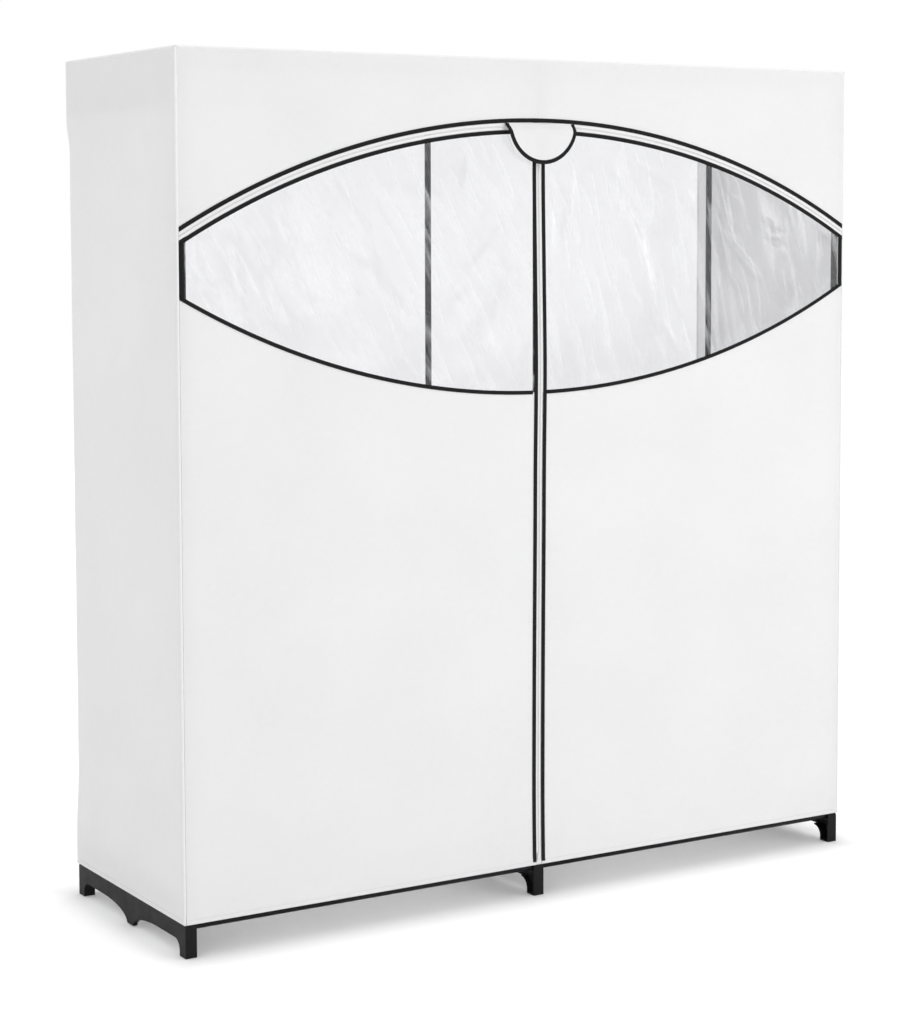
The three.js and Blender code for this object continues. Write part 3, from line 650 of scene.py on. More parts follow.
def drift(s, z, seed, size):
    """Smooth random waves: three times the mean of 24 cosines, with lengths from size down to a third of it."""
    dice = np.random.default_rng(seed)
    angle = dice.uniform(0, TAU, WAVES)
    phase = dice.uniform(0, TAU, WAVES)
    rate = TAU / (size * dice.uniform(0.33, 1.0, WAVES))
    across = s[..., None] * rate * np.cos(angle)
    up = z[..., None] * rate * UPRIGHT_STRETCH * np.sin(angle)
    return np.cos(across + up + phase).mean(axis=-1) * 3


def hem_step(z):
    """How far the folded hem stands out, with a soft step at its stitched edge."""
    return HEM_PROUD * (1 - smooth_step((z - HEM_TOP + HEM_STEP / 2) / HEM_STEP))


def hem_pucker(s, z):
    """Small puckers that the stitches draw into the cloth just above and below the seam."""
    near = np.exp(-((z - HEM_TOP + STITCH_BELOW) / PUCKER_REACH) ** 2)
    sway = 1.3 * np.sin(s * TAU / PUCKER_SWAY)
    return near * PUCKER_HEIGHT * (1 + np.cos(s * TAU / PUCKER_PITCH + sway))


def wall_grid(left, right, low, high, across_step, up_step):
    """The s and z of a wall's grid. left and right may change with height, low and high across it."""
    start, width = left(MIDDLE_HEIGHT), right(MIDDLE_HEIGHT) - left(MIDDLE_HEIGHT)
    columns = int(width / across_step) + 1
    share = np.linspace(0, 1, columns)
    rough = start + width * share
    tallest = float(np.max(high(rough) - low(rough)))
    rows = int(tallest / up_step) + 1
    up = np.linspace(0, 1, rows)[None, :]
    z = low(rough)[:, None] + (high(rough) - low(rough))[:, None] * up
    s = left(z) + (right(z) - left(z)) * share[:, None]
    return s, z


print("helpers ready: drift, hem_step, wall_grid")

# %% [markdown]
# The rear uprights stand well in from the corners, so between the base frame and the top frame nothing holds
# the rear corners out and the cloth draws them in by a few millimetres. `corner_pull` is that amount at each
# height: p = 4 (rise from the base frame) (fall to the top frame), both smooth steps.

# %% Where the corners are drawn in
CORNER_PULL = 4.0
PULL_FROM, PULL_RISE = 118.0, 150.0
PULL_TO, PULL_FALL = 1512.0, 60.0
FREE_FROM, FREE_TO, FREE_RUN = 112.0, 1519.0, 60.0
HELD_SHARE = 0.25


def corner_pull(z):
    """How far a rear corner is drawn in at a height."""
    rise = smooth_step((z - PULL_FROM) / PULL_RISE)
    fall = smooth_step((PULL_TO - z) / PULL_FALL)
    return CORNER_PULL * rise * fall


def free_share(z):
    """1 where a wall hangs free, and a quarter over the base and top frames, which it can't drift into."""
    free = 1 - HELD_SHARE
    return HELD_SHARE + free * smooth_step((z - FREE_FROM) / FREE_RUN) * smooth_step((FREE_TO - z) / FREE_RUN)


def edge_mask(s, z, left, right, low, high, reach=70.0):
    """0 at the edges of a wall and 1 from reach millimetres inside them."""
    near = np.minimum(np.minimum(s - left, right - s), np.minimum(z - low, high - z))
    return smooth_step(near / reach)


def wall_piece(name, s, z, out, place, flip=False, material=cover_cloth, thickness=CLOTH):
    """A sheet from its s, z and how far it stands out, set on its wall by place. flip turns its faces round."""
    faces = grid_faces(*s.shape)
    if flip:
        faces = faces[:, ::-1]
    return thicken(make_piece(name, place(s, z, out), faces, material, flat_map(s, z)), thickness)


def on_front(s, z, out):
    """A point of the front: x = s, y = front - out."""
    return np.stack(np.broadcast_arrays(s, FRONT_OUT - out, z), axis=-1)


def on_back(s, z, out):
    """A point of the back: x = s, y = back + out."""
    return np.stack(np.broadcast_arrays(s, BACK_OUT + out, z), axis=-1)


def on_side(side):
    """A point of a side wall: x = side (half width + out), y = s."""
    return lambda s, z, out: np.stack(np.broadcast_arrays(side * (SIDE_OUT + out), s, z), axis=-1)


print("rear corners drawn in by", CORNER_PULL, "mm between the frames")

# %% [markdown]
# The back and the two sides are plain cuts, sewn to the piping at every edge but the hem. A cloth simulation
# could hang them, but its result changes with the number of frames, and it could sink into the frame. The sum
# of drift, hem and drawn-in corners gives the same look, and it never leaves the seams. The sides have a
# finer crumple as well, above 1.1 m, where the cloth is pulled over the top frame.

# %% Back and side walls
DRIFT_HEIGHT = 2.0
WALL_EASE = 0.8
CRUMPLE_HEIGHT = 0.45
CRUMPLE_FROM, CRUMPLE_RISE = 1100.0, 300.0
PULL_SPREAD = 110.0


def flat_at(value):
    """A height or an edge that is the same everywhere."""
    return lambda other: value + 0 * np.asarray(other, dtype=float)


panel_top = flat_at(PIPING_TOP - SEAM_INSET)
panel_foot = flat_at(HEM_BOTTOM)


def back_wall():
    """The back: drawn in at both rear corners, and adrift between them."""
    left = lambda z: -(PIPING_SIDE - SEAM_INSET - corner_pull(z))
    right = lambda z: PIPING_SIDE - SEAM_INSET - corner_pull(z)
    s, z = wall_grid(left, right, panel_foot, panel_top, across_step=12, up_step=12)
    mask = edge_mask(s, z, left(z), right(z), HEM_TOP, PIPING_TOP)
    away = np.exp(-(PIPING_SIDE - np.abs(s)) / PULL_SPREAD)
    free = drift(s, z, seed=11, size=520) * DRIFT_HEIGHT * free_share(z) + WALL_EASE
    out = mask * free - corner_pull(z) * away + hem_step(z) + hem_pucker(s, z)
    return wall_piece("back_cloth", s, z, out, on_back, flip=True, material=back_cloth)


def side_wall(name, side, seed):
    """A side: held at the front corner, drawn in at the rear one."""
    left = flat_at(PIPING_FRONT + SEAM_INSET)
    right = lambda z: PIPING_BACK - SEAM_INSET - corner_pull(z)
    s, z = wall_grid(left, right, panel_foot, panel_top, across_step=9, up_step=12)
    mask = edge_mask(s, z, left(z), right(z), HEM_TOP, PIPING_TOP)
    away = np.exp(-(PIPING_BACK - s) / PULL_SPREAD)
    crumple = CRUMPLE_HEIGHT * drift(s, z, seed + 1, size=110)
    crumple = crumple * smooth_step((z - CRUMPLE_FROM) / CRUMPLE_RISE)
    free = (drift(s, z, seed, size=420) * DRIFT_HEIGHT + crumple) * free_share(z) + WALL_EASE
    out = mask * free - corner_pull(z) * away + hem_step(z) + hem_pucker(s, z)
    return wall_piece(name, s, z, out, on_side(side), flip=side < 0)


back = adopt(back_wall(), "wardrobe", "cover_fabric", "cover_back")
for (name, side), seed in zip(HANDS.items(), (21, 34)):
    cloth = side_wall(f"side_cloth_{name}", side, seed)
    adopt(cloth, "wardrobe", "cover_fabric", f"cover_side_{name}")

# %% [markdown]
# ## Top
#
# The top is stretched over the top frames at both ends and in the middle. Between them it sags by some
# millimetres: for a and b from 0 to 1 across each bay, the sag is d sin(pi a) sin(pi b).

# %% Top cloth
TOP_SAG = 7.0
TOP_DRIFT = 1.2
TOP_COLUMNS = 128
TOP_ROWS = 44
BAY_FROM = 11.3
BAY_TO = 737.0


def top_cloth():
    """A flat cut with a shallow sag in each bay."""
    x = np.linspace(-PIPING_SIDE + SEAM_INSET, PIPING_SIDE - SEAM_INSET, TOP_COLUMNS)[:, None]
    y = np.linspace(PIPING_FRONT + SEAM_INSET, PIPING_BACK - SEAM_INSET, TOP_ROWS)[None, :]
    x, y = np.broadcast_arrays(x, y)
    bay = np.clip((np.abs(x) - BAY_FROM) / (BAY_TO - BAY_FROM), 0, 1)
    deep = (y - PIPING_FRONT) / (PIPING_BACK - PIPING_FRONT)
    hold = np.sin(np.pi * bay) * np.sin(np.pi * deep)
    z = TOP_OUT - TOP_SAG * hold + TOP_DRIFT * hold * drift(x, y, seed=47, size=300)
    points = np.stack([x, y, z], axis=-1)
    return thicken(make_piece("top_cloth", points, grid_faces(*x.shape), top_material, flat_map(x, y)), CLOTH)


top = adopt(top_cloth(), "wardrobe", "cover_fabric", "cover_top")
print("top sags", TOP_SAG, "mm in each bay")

# %% [markdown]
# ## Valance
#
# The valance is the fixed cloth over the doors. Its lower edge is an arc: z = c + sqrt(r^2 - x^2).

# %% Valance
VALANCE_DEEPEST = -0.1


def arc_height(radius):
    """The height of an arc about the arch's centre, at a place across the front."""
    return lambda x: ARCH_CENTRE + np.sqrt(radius ** 2 - np.asarray(x, dtype=float) ** 2)


def sill_height(radius):
    """The height of an arc about the sill's centre, which lies above the window."""
    return lambda x: SILL_CENTRE - np.sqrt(radius ** 2 - np.asarray(x, dtype=float) ** 2)


def valance_cloth():
    """The front cloth from the arch up to the top seam."""
    low = arc_height(ARCH_TAPE_LOW + 0.3)
    left = flat_at(-PIPING_SIDE + SEAM_INSET)
    right = flat_at(PIPING_SIDE - SEAM_INSET)
    s, z = wall_grid(left, right, low, panel_top, across_step=9, up_step=8)
    mask = edge_mask(s, z, -PIPING_SIDE, PIPING_SIDE, low(s), PIPING_TOP, reach=60)
    out = mask * np.maximum(drift(s, z, seed=58, size=380) + WALL_EASE, VALANCE_DEEPEST)
    return wall_piece("valance_cloth", s, z, out, on_front)


valance = adopt(valance_cloth(), "wardrobe", "cover_fabric", "valance")
print("valance:", len(valance.data.vertices), "points")

# %% [markdown]
# ## Where the doors meet
#
# The centre zip doesn't hang dead straight: it wavers by some 3 mm over its height, and both doors' edges
# waver with it. `waver` is that shift at each height, a smooth curve through measured places.

# %% Waver of the centre zip
WAVER_AT = np.array([58, 164, 358, 552, 698, 843, 1036, 1230, 1424, 1492], dtype=float)
WAVER_BY = np.array([-0.6, -2.0, -1.9, -0.8, 0.3, 1.1, 3.0, 0.6, -1.6, -1.2])


def waver(z):
    """The sideways shift of the centre zip at a height: a cubic Hermite curve through the measured places."""
    z = np.asarray(z, dtype=float)
    slope = np.gradient(WAVER_BY, WAVER_AT)
    span = np.clip(np.searchsorted(WAVER_AT, z, side="right") - 1, 0, len(WAVER_AT) - 2)
    length = WAVER_AT[span + 1] - WAVER_AT[span]
    t = np.clip((z - WAVER_AT[span]) / length, 0, 1)
    start = (2 * t ** 3 - 3 * t ** 2 + 1) * WAVER_BY[span] + (t ** 3 - 2 * t ** 2 + t) * length * slope[span]
    end = (3 * t ** 2 - 2 * t ** 3) * WAVER_BY[span + 1] + (t ** 3 - t ** 2) * length * slope[span + 1]
    return start + end


print("the zip wavers from", WAVER_BY.min(), "to", WAVER_BY.max(), "mm")

# %% [markdown]
# ## Door panels
#
# Each door's cloth reaches from the hem up to the curved sill of its window. It hangs from the frame's corner
# to the zip, with soft upright drifts.

# %% Door cloth
DOOR_DRIFT = 1.3
DOOR_EASE = 1.1
DOOR_DEEPEST = -0.6


def door_edges(side):
    """The left and right edges of a door at a height, from its outer seam to the wavering zip."""
    outer = lambda z: side * DOOR_OUTER + 0 * np.asarray(z, dtype=float)
    inner = lambda z: side * DOOR_INNER + waver(z)
    return (inner, outer) if side > 0 else (outer, inner)


def door_cloth(name, side, seed):
    """The cloth of one door, below its window."""
    left, right = door_edges(side)
    high = sill_height(SILL_RADIUS + 0.15)
    s, z = wall_grid(left, right, panel_foot, high, across_step=9, up_step=11)
    mask = edge_mask(s, z, left(z), right(z), HEM_TOP, high(s), reach=80)
    out = mask * np.maximum(drift(s, z, seed, size=460) * DOOR_DRIFT + DOOR_EASE, DOOR_DEEPEST)
    return wall_piece(name, s, z, out + hem_step(z) + hem_pucker(s, z), on_front)


for (name, side), seed in zip(HANDS.items(), (63, 79)):
    cloth = door_cloth(f"door_cloth_{name}", side, seed)
    adopt(cloth, f"door_{name}", "cover_fabric", f"door_panel_{name}")

# %% [markdown]
# ## Windows
#
# Film keeps the folds of its packing. Each fold is a soft ridge along a straight line that swells and widens
# from one end to the other: h sin(pi t)^0.6 exp(-(d / w)^2), for a share t along the line and a distance d
# from it. The height h is 0.26 w / (1 + w / 14), so that narrow folds are the steepest. A table holds the
# large folds as x, z of one end, x, z of the other, and the half width at each end. Small ones are strewn
# between them. One in three is a valley, so the film faces many ways and catches the lamp in streaks.

# %% Window film
FILM = 0.5
FOLDS = np.array([
    (-725, 1296, -665, 1135, 6, 21), (-640, 1330, -585, 1231, 3, 13), (-585, 1231, -523, 1126, 14, 26),
    (-615, 1344, -582, 1291, 3, 5), (-569, 1356, -540, 1284, 5, 6), (-540, 1284, -490, 1172, 5, 14),
    (-518, 1295, -536, 1244, 3, 4), (-452, 1392, -370, 1283, 4, 8), (-370, 1283, -280, 1139, 10, 4),
    (-458, 1339, -391, 1242, 6, 8), (-391, 1242, -288, 1139, 14, 6), (-357, 1368, -318, 1299, 7, 8),
    (-349, 1392, -310, 1383, 4, 5), (-310, 1383, -266, 1364, 6, 4), (-321, 1398, -256, 1375, 3, 3),
    (-342, 1351, -266, 1342, 3, 3), (-245, 1417, -190, 1413, 3, 3), (-240, 1383, -212, 1364, 5, 6),
    (-43, 1449, -203, 1173, 11, 18), (-36, 1362, -167, 1202, 6, 13), (-55, 1306, -94, 1232, 6, 11),
    (-94, 1232, -188, 1074, 13, 27), (-65, 1231, -109, 1084, 9, 18), (-116, 1471, -89, 1395, 5, 10),
    (-156, 1452, -172, 1356, 8, 15), (117, 1466, 138, 1129, 11, 30), (153, 1460, 211, 1335, 5, 14),
    (174, 1460, 374, 1359, 4, 14), (143, 1434, 289, 1255, 7, 19), (211, 1335, 289, 1094, 14, 24),
    (427, 1310, 543, 1192, 6, 11), (49, 1414, 39, 1161, 9, 16), (84, 1454, 63, 1277, 4, 9),
], dtype=float)
FOLD_STEEPNESS = 0.26
FOLD_SOFTENS = 14.0
LOOSE_FOLDS = 40
DEEPEST_VALLEY = -2.6
HIGHEST_RIDGE = 6.0


def loose_folds():
    """Small seeded folds that run the way their neighbours in the table do."""
    dice = np.random.default_rng(5)
    x = dice.uniform(-740, 740, LOOSE_FOLDS)
    share = dice.uniform(0.12, 0.88, LOOSE_FOLDS)
    low = sill_height(SILL_RADIUS)(x)
    high = arc_height(WINDOW_ARCH)(x)
    z = low + (high - low) * share
    lean = np.where(x < -200, -62.0, np.where(x < 0, -115.0, np.degrees(np.arctan2(z - 1620, x - 20))))
    lean = np.radians(lean + dice.normal(0, 9, LOOSE_FOLDS))
    half = dice.uniform(2.5, 8.0, LOOSE_FOLDS)
    length = half * dice.uniform(9, 22, LOOSE_FOLDS)
    end = np.stack([x + length * np.cos(lean), z + length * np.sin(lean)], axis=-1)
    return np.column_stack([x, z, end, half * 0.6, half * 1.4])


ALL_FOLDS = np.vstack([FOLDS, loose_folds()])


def film_relief(x, z):
    """The folds of the table, the small ones between them, and a loose drift."""
    start = ALL_FOLDS[:, 0:2]
    run = ALL_FOLDS[:, 2:4] - start
    length = np.linalg.norm(run, axis=1)
    toward = run / length[:, None]
    dx = x[..., None] - start[:, 0]
    dz = z[..., None] - start[:, 1]
    t = (dx * toward[:, 0] + dz * toward[:, 1]) / length
    away = dx * toward[:, 1] - dz * toward[:, 0]
    half = ALL_FOLDS[:, 4] + (ALL_FOLDS[:, 5] - ALL_FOLDS[:, 4]) * np.clip(t, 0, 1)
    ends = np.sin(np.pi * np.clip(t, 0, 1)) ** 0.6
    turn = np.where(np.arange(len(ALL_FOLDS)) % 3 == 1, -1.0, 1.0)
    height = turn * FOLD_STEEPNESS * half / (1 + half / FOLD_SOFTENS)
    ridges = height * ends * np.exp(-(away / half) ** 2)
    return ridges.sum(axis=-1) + drift(x, z, seed=91, size=260)


def window_piece(name, side, material):
    """The film of one door, from the sill to the arched zip."""
    left, right = door_edges(side)
    low = sill_height(SILL_RADIUS - 0.15)
    high = arc_height(WINDOW_ARCH)
    s, z = wall_grid(left, right, low, high, across_step=3.2, up_step=3.4)
    mask = edge_mask(s, z, left(z), right(z), low(s), high(s), reach=34)
    out = mask * np.clip(film_relief(s, z), DEEPEST_VALLEY, HIGHEST_RIDGE)
    return wall_piece(name, s, z, out, on_front, material=material, thickness=FILM)


for name, side in HANDS.items():
    film = window_piece(f"window_film_{name}", side, window_film[name])
    adopt(film, f"door_{name}", "clear_vinyl", f"door_window_{name}")

# %% [markdown]
# ## Binding tapes
#
# The tapes lie flat on the cloth along arcs and uprights. Each row of points along an arc keeps one x, so
# that the ends are cut upright, and each point's height is worked out from its own radius. The tape is a
# rounded oblong, a millimetre and a quarter thick.

# %% Tapes along arcs and uprights
TAPE_HALF = 0.62


def arc_strip(name, height_of, radius, x_from, x_to, section, back_y, material, step=5.0):
    """A strip along an arc. Each point of the section has its own radius, and stands in front of back_y."""
    x = np.linspace(x_from, x_to, int(abs(x_to - x_from) / step) + 2)[:, None]
    radii = radius + section[None, :, 0]
    z = np.stack([height_of(r)(x[:, 0]) for r in radii[0]], axis=-1)
    y = back_y - section[None, :, 1] + 0 * x
    points = np.stack([x + 0 * z, y, z], axis=-1)
    along = np.concatenate([[0], np.cumsum(np.hypot(np.diff(x[:, 0]), np.diff(z[:, 0])))])[:, None]
    return strip_piece(name, points, material, along, section[None, :, 0])


def upright_strip(name, x_at, z_from, z_to, section, back_y, material, step=6.0):
    """A strip up the front whose middle line is x_at(z). It climbs over the folded hem."""
    z = np.linspace(z_from, z_to, int((z_to - z_from) / step) + 2)[:, None]
    x = x_at(z) + section[None, :, 0]
    y = back_y - section[None, :, 1] - hem_step(z)
    points = np.stack([x, y, z + 0 * x], axis=-1)
    return strip_piece(name, points, material, z, section[None, :, 0])


def tape_section(width):
    """A binding tape of a given width, as a rounded oblong whose back lies on the cloth."""
    return rounded_section(width / 2, TAPE_HALF) + [0, TAPE_HALF]


valance_tape = arc_strip(
    "valance_tape", arc_height, ARCH_TAPE_LOW + ARCH_TAPE_WIDTH / 2, -DOOR_OUTER, DOOR_OUTER,
    tape_section(ARCH_TAPE_WIDTH), TAPE_BACK, black_tape)
adopt(valance_tape, "wardrobe", "binding_tape", "valance_binding")

CENTRE_TAPE_SHOWN = 8.4
CENTRE_TAPE_FOOT = HEM_BOTTOM + 6
WINDOW_TAPE_MIDDLE = WINDOW_TAPE_LOW + WINDOW_TAPE_WIDTH / 2
for name, side in HANDS.items():
    ends = (side * (CENTRE_TAPE_OUTER + 0.3), side * DOOR_OUTER)
    side_low = float(sill_height(SILL_RADIUS)(DOOR_OUTER))
    side_high = float(arc_height(WINDOW_TAPE_MIDDLE)(DOOR_OUTER))
    side_middle = side * (DOOR_OUTER - SIDE_TAPE_WIDTH / 2)
    centre_middle = side * (CENTRE_TAPE_INNER + CENTRE_TAPE_OUTER) / 2
    over = arc_strip(
        f"window_arch_tape_{name}", arc_height, WINDOW_TAPE_MIDDLE, *ends, tape_section(WINDOW_TAPE_WIDTH),
        TAPE_BACK, black_tape)
    under = arc_strip(
        f"sill_tape_{name}", sill_height, SILL_RADIUS, *ends, tape_section(SILL_TAPE_WIDTH),
        TAPE_BACK, black_tape)
    outer = upright_strip(
        f"side_tape_{name}", lambda z: side_middle + 0 * z, side_low, side_high, tape_section(SIDE_TAPE_WIDTH),
        TAPE_BACK + 0.1, black_tape)
    centre = upright_strip(
        f"centre_tape_{name}", lambda z: centre_middle + waver(z), CENTRE_TAPE_FOOT, CENTRE_TOP,
        tape_section(CENTRE_TAPE_SHOWN), TAPE_BACK, black_tape)
    adopt(over, f"door_{name}", "binding_tape", f"window_top_binding_{name}")
    adopt(under, f"door_{name}", "binding_tape", f"window_sill_binding_{name}")
    adopt(outer, f"door_{name}", "binding_tape")
    adopt(centre, f"door_{name}", "binding_tape", f"centre_binding_{name}")

# %% [markdown]
# ## Zips
#
# A coil zip is two woven tapes with half of a nylon coil sewn along the edge of each. The coil shows as a
# ridged line. Its turns are 1.5 mm apart and are drawn 2.4 mm apart, so they still show: the ridge's height
# is multiplied by 0.62 + 0.38 |sin(pi s / 2.4)| along it, and the two halves are half a turn apart, as they
# interlock.

# %% Zip tapes and coils
ZIP_BACK = -237.6
ZIP_TAPE_HALF = 0.45
COIL_TURN = 2.4
COIL_HALF_WIDTH = 0.85
COIL_HALF_HEIGHT = 0.75
COIL_BACK = -238.3
COIL_GAP = 0.12
COIL_LOW = 0.62
COIL_START = 0.6
COIL_END = 755.0
COIL_FOOT = HEM_BOTTOM + 14
COIL_SECTION = rounded_section(COIL_HALF_WIDTH, COIL_HALF_HEIGHT, 8, 0.8) + [0, COIL_HALF_HEIGHT]
ZIP_GAP = 0.2
CENTRE_ZIP_MIDDLE = 2.7
CENTRE_ZIP_WIDTH = 5.0


def coil_piece(name, x, z, along, phase):
    """A coil from its points' x and z, with the ridge that its turns make along its front."""
    ridge = COIL_LOW + (1 - COIL_LOW) * np.abs(np.sin(np.pi * ((along - along[0]) / COIL_TURN + phase)))
    front = COIL_BACK - COIL_SECTION[None, :, 1] * ridge[:, None]
    points = np.stack(np.broadcast_arrays(x, front, z), axis=-1)
    return strip_piece(name, points, coil_nylon, along[:, None], COIL_SECTION[None, :, 0])


def coil_steps(length):
    """Four steps of the path for each turn of the coil."""
    return int(length / (COIL_TURN / 4)) + 2


def coil_on_arc(name, radius, x_from, x_to, phase):
    """Half of the arched zip's coil: x = r sin a and z = c + r cos a."""
    angles = np.linspace(
        math.asin(x_from / radius), math.asin(x_to / radius), coil_steps(abs(x_to - x_from)))
    radii = radius + COIL_SECTION[None, :, 0]
    x = radii * np.sin(angles)[:, None]
    z = ARCH_CENTRE + radii * np.cos(angles)[:, None]
    return coil_piece(name, x, z, np.abs(angles - angles[0]) * radius, phase)


def coil_upright(name, side, phase):
    """Half of the centre zip's coil, which wavers with the door's edge."""
    z = np.linspace(COIL_FOOT, CENTRE_TOP, coil_steps(CENTRE_TOP - HEM_BOTTOM))
    x = side * (COIL_HALF_WIDTH + COIL_GAP) + waver(z)[:, None] + COIL_SECTION[None, :, 0]
    return coil_piece(name, x, z[:, None], z, phase)


def zip_section(width):
    """A flat woven tape of a given width."""
    return rounded_section(width / 2, ZIP_TAPE_HALF, 10, 0.35) + [0, ZIP_TAPE_HALF]


def arched_zip(name, low, high, x_from, x_to):
    """The woven tape of an arched zip half, between two radii."""
    middle, width = (low + high) / 2, high - low
    return arc_strip(name, arc_height, middle, x_from, x_to, zip_section(width), ZIP_BACK, zip_cloth)


fixed_zip = arched_zip(
    "arch_zip_tape_fixed", ARCH_ZIP_SPLIT + ZIP_GAP, ARCH_ZIP_OUTER, -DOOR_OUTER, DOOR_OUTER)
adopt(fixed_zip, "wardrobe", "zip_tape", "arch_zip_fixed")
fixed_coil = coil_on_arc(
    "arch_coil_fixed", ARCH_ZIP_SPLIT + COIL_GAP + COIL_HALF_WIDTH, -COIL_END, COIL_END, phase=0.0)
adopt(fixed_coil, "wardrobe", "zip_tape")
for name, side in HANDS.items():
    arched = arched_zip(
        f"arch_zip_tape_{name}", ARCH_ZIP_INNER, ARCH_ZIP_SPLIT - ZIP_GAP, side * ZIP_GAP, side * DOOR_OUTER)
    arched_coil = coil_on_arc(
        f"arch_coil_{name}", ARCH_ZIP_SPLIT - COIL_GAP - COIL_HALF_WIDTH, side * COIL_START, side * COIL_END,
        phase=0.5)
    upright = upright_strip(
        f"centre_zip_tape_{name}", lambda z: side * CENTRE_ZIP_MIDDLE + waver(z), HEM_BOTTOM, CENTRE_TOP,
        zip_section(CENTRE_ZIP_WIDTH), ZIP_BACK, zip_cloth)
    upright_coil = coil_upright(f"centre_coil_{name}", side, phase=0.25 * side)
    adopt(arched, f"door_{name}", "zip_tape", f"arch_zip_{name}")
    adopt(upright, f"door_{name}", "zip_tape", f"centre_zip_{name}")
    adopt(arched_coil, f"door_{name}", "zip_tape")
    adopt(upright_coil, f"door_{name}", "zip_tape")
print("coil:", len(fixed_coil.data.vertices), "points on the fixed half")

# %% [markdown]
# ## Piping
#
# White piping covers the seams at the four upright corners and round the top. It is a cord in a folded strip,
# so it is a tube 4.1 mm across that stands a little proud of both walls. The rear ones follow the corners as
# they are drawn in, and the loop round the top turns its corners on a small radius.

# %% Piping
TURN_RADIUS = 7.0
TURN_STEPS = 9
LOOP_STEPS = 900
CORNER_STEPS = 200
RIPPLE_HEIGHT = 0.25
RIPPLE_LENGTH = 210.0


def corner_path(side, rear):
    """The line of an upright corner, from the hem up to the top seam."""
    z = np.linspace(HEM_BOTTOM, PIPING_TOP, CORNER_STEPS)
    pull = corner_pull(z) if rear else 0 * z
    ripple = RIPPLE_HEIGHT * np.sin(z * TAU / RIPPLE_LENGTH + side)
    x = side * (PIPING_SIDE + CORD_SHIFT - pull + (ripple if rear else 0))
    y = (PIPING_BACK + CORD_SHIFT - pull) if rear else PIPING_FRONT - CORD_SHIFT + 0 * z
    return np.stack([x, y, z], axis=-1)


def top_loop():
    """Once round the top seam, with its corners turned on a radius."""
    turn = np.linspace(0, np.pi / 2, TURN_STEPS)
    corners = []
    for x, y, start in ((1, 1, 0), (-1, 1, 1), (-1, -1, 2), (1, -1, 3)):
        edge_y = PIPING_BACK + CORD_SHIFT if y > 0 else PIPING_FRONT - CORD_SHIFT
        centre = np.array([x * (PIPING_SIDE + CORD_SHIFT - TURN_RADIUS), edge_y - y * TURN_RADIUS])
        angle = turn + start * np.pi / 2
        corners.append(centre + TURN_RADIUS * np.stack([np.cos(angle), np.sin(angle)], axis=-1))
    ring = np.concatenate(corners + [corners[0][:1]])
    lengths = np.concatenate([[0], np.cumsum(np.linalg.norm(np.diff(ring, axis=0), axis=1))])
    even = np.linspace(0, lengths[-1], LOOP_STEPS)
    x = np.interp(even, lengths, ring[:, 0])
    y = np.interp(even, lengths, ring[:, 1])
    return np.stack([x, y, PIPING_TOP + 0 * x], axis=-1)


def piping(name, path, *nodes):
    """White piping along a path."""
    cord = strip_piece(name, cord_points(path, CORD_RADIUS), piping_cloth)
    return adopt(cord, "wardrobe", "white_trim", *nodes)


for name, side in HANDS.items():
    for depth, rear in (("front", False), ("rear", True)):
        piping(f"corner_piping_{depth}_{name}", corner_path(side, rear), f"piping_{depth}_{name}")
loop = top_loop()
piping("top_piping", loop, *(f"piping_top_{edge}" for edge in ("front", "rear", "left", "right")))
print("piping: four corners and a loop of", len(loop), "steps")

# %% [markdown]
# ## Hem stitches
#
# One line of white stitches holds each hem. A stitch is a small spindle, 3.4 mm of every 5 mm, worked out
# once and repeated along the line as one array.

# %% Rows of stitches
STITCH_EVERY = 5.0
STITCH_LENGTH = 3.4
STITCH_RADIUS = 0.32
STITCH_RINGS = 5
STITCH_SIDES = 6
HEM_INSET = 8


def stitch_row(name, places, ahead, outward):
    """Spindles at places, each along ahead: r = R sqrt(sin(pi t)) round, for t from one end to the other."""
    t = np.linspace(0.02, 0.98, STITCH_RINGS)
    radius = STITCH_RADIUS * np.sqrt(np.sin(np.pi * t))
    angle = np.linspace(0, TAU, STITCH_SIDES, endpoint=False)
    up = np.array([0, 0, 1.0])
    ring = np.cos(angle)[:, None] * up + np.sin(angle)[:, None] * np.asarray(outward, dtype=float)
    line = (t - 0.5)[:, None, None] * STITCH_LENGTH * np.asarray(ahead, dtype=float)
    points = places[:, None, None, :] + line + radius[:, None, None] * ring
    first = (np.arange(len(places)) * STITCH_RINGS * STITCH_SIDES)[:, None]
    faces = (grid_faces(STITCH_RINGS, STITCH_SIDES, wrap=True) + first[:, :, None]).reshape(-1, 4).tolist()
    ends = np.arange(STITCH_SIDES) + first
    faces += ends.tolist() + (ends + (STITCH_RINGS - 1) * STITCH_SIDES).tolist()
    return face_outwards(make_piece(name, points, faces, sewing_thread))


def hem_stitches(name, s, place, ahead, outward, body):
    """The stitches along one hem, just proud of its cloth."""
    z = np.full_like(s, HEM_TOP - STITCH_BELOW)
    places = place(s, z, hem_step(z) + hem_pucker(s, z) + 0.05)
    return adopt(stitch_row(name, places, ahead, outward), body, "white_trim")


door_s = np.arange(18.0, DOOR_OUTER - 6, STITCH_EVERY)
side_s = np.arange(PIPING_FRONT + HEM_INSET, PIPING_BACK - HEM_INSET, STITCH_EVERY)
back_s = np.arange(-PIPING_SIDE + HEM_INSET, PIPING_SIDE - HEM_INSET, STITCH_EVERY)
for name, side in HANDS.items():
    hem_stitches(
        f"door_hem_stitches_{name}", side * door_s, on_front, (1, 0, 0), (0, -1, 0), f"door_{name}")
    hem_stitches(
        f"side_hem_stitches_{name}", side_s, on_side(side), (0, 1, 0), (side, 0, 0), "wardrobe")
hem_stitches("back_hem_stitches", back_s, on_back, (1, 0, 0), (0, 1, 0), "wardrobe")

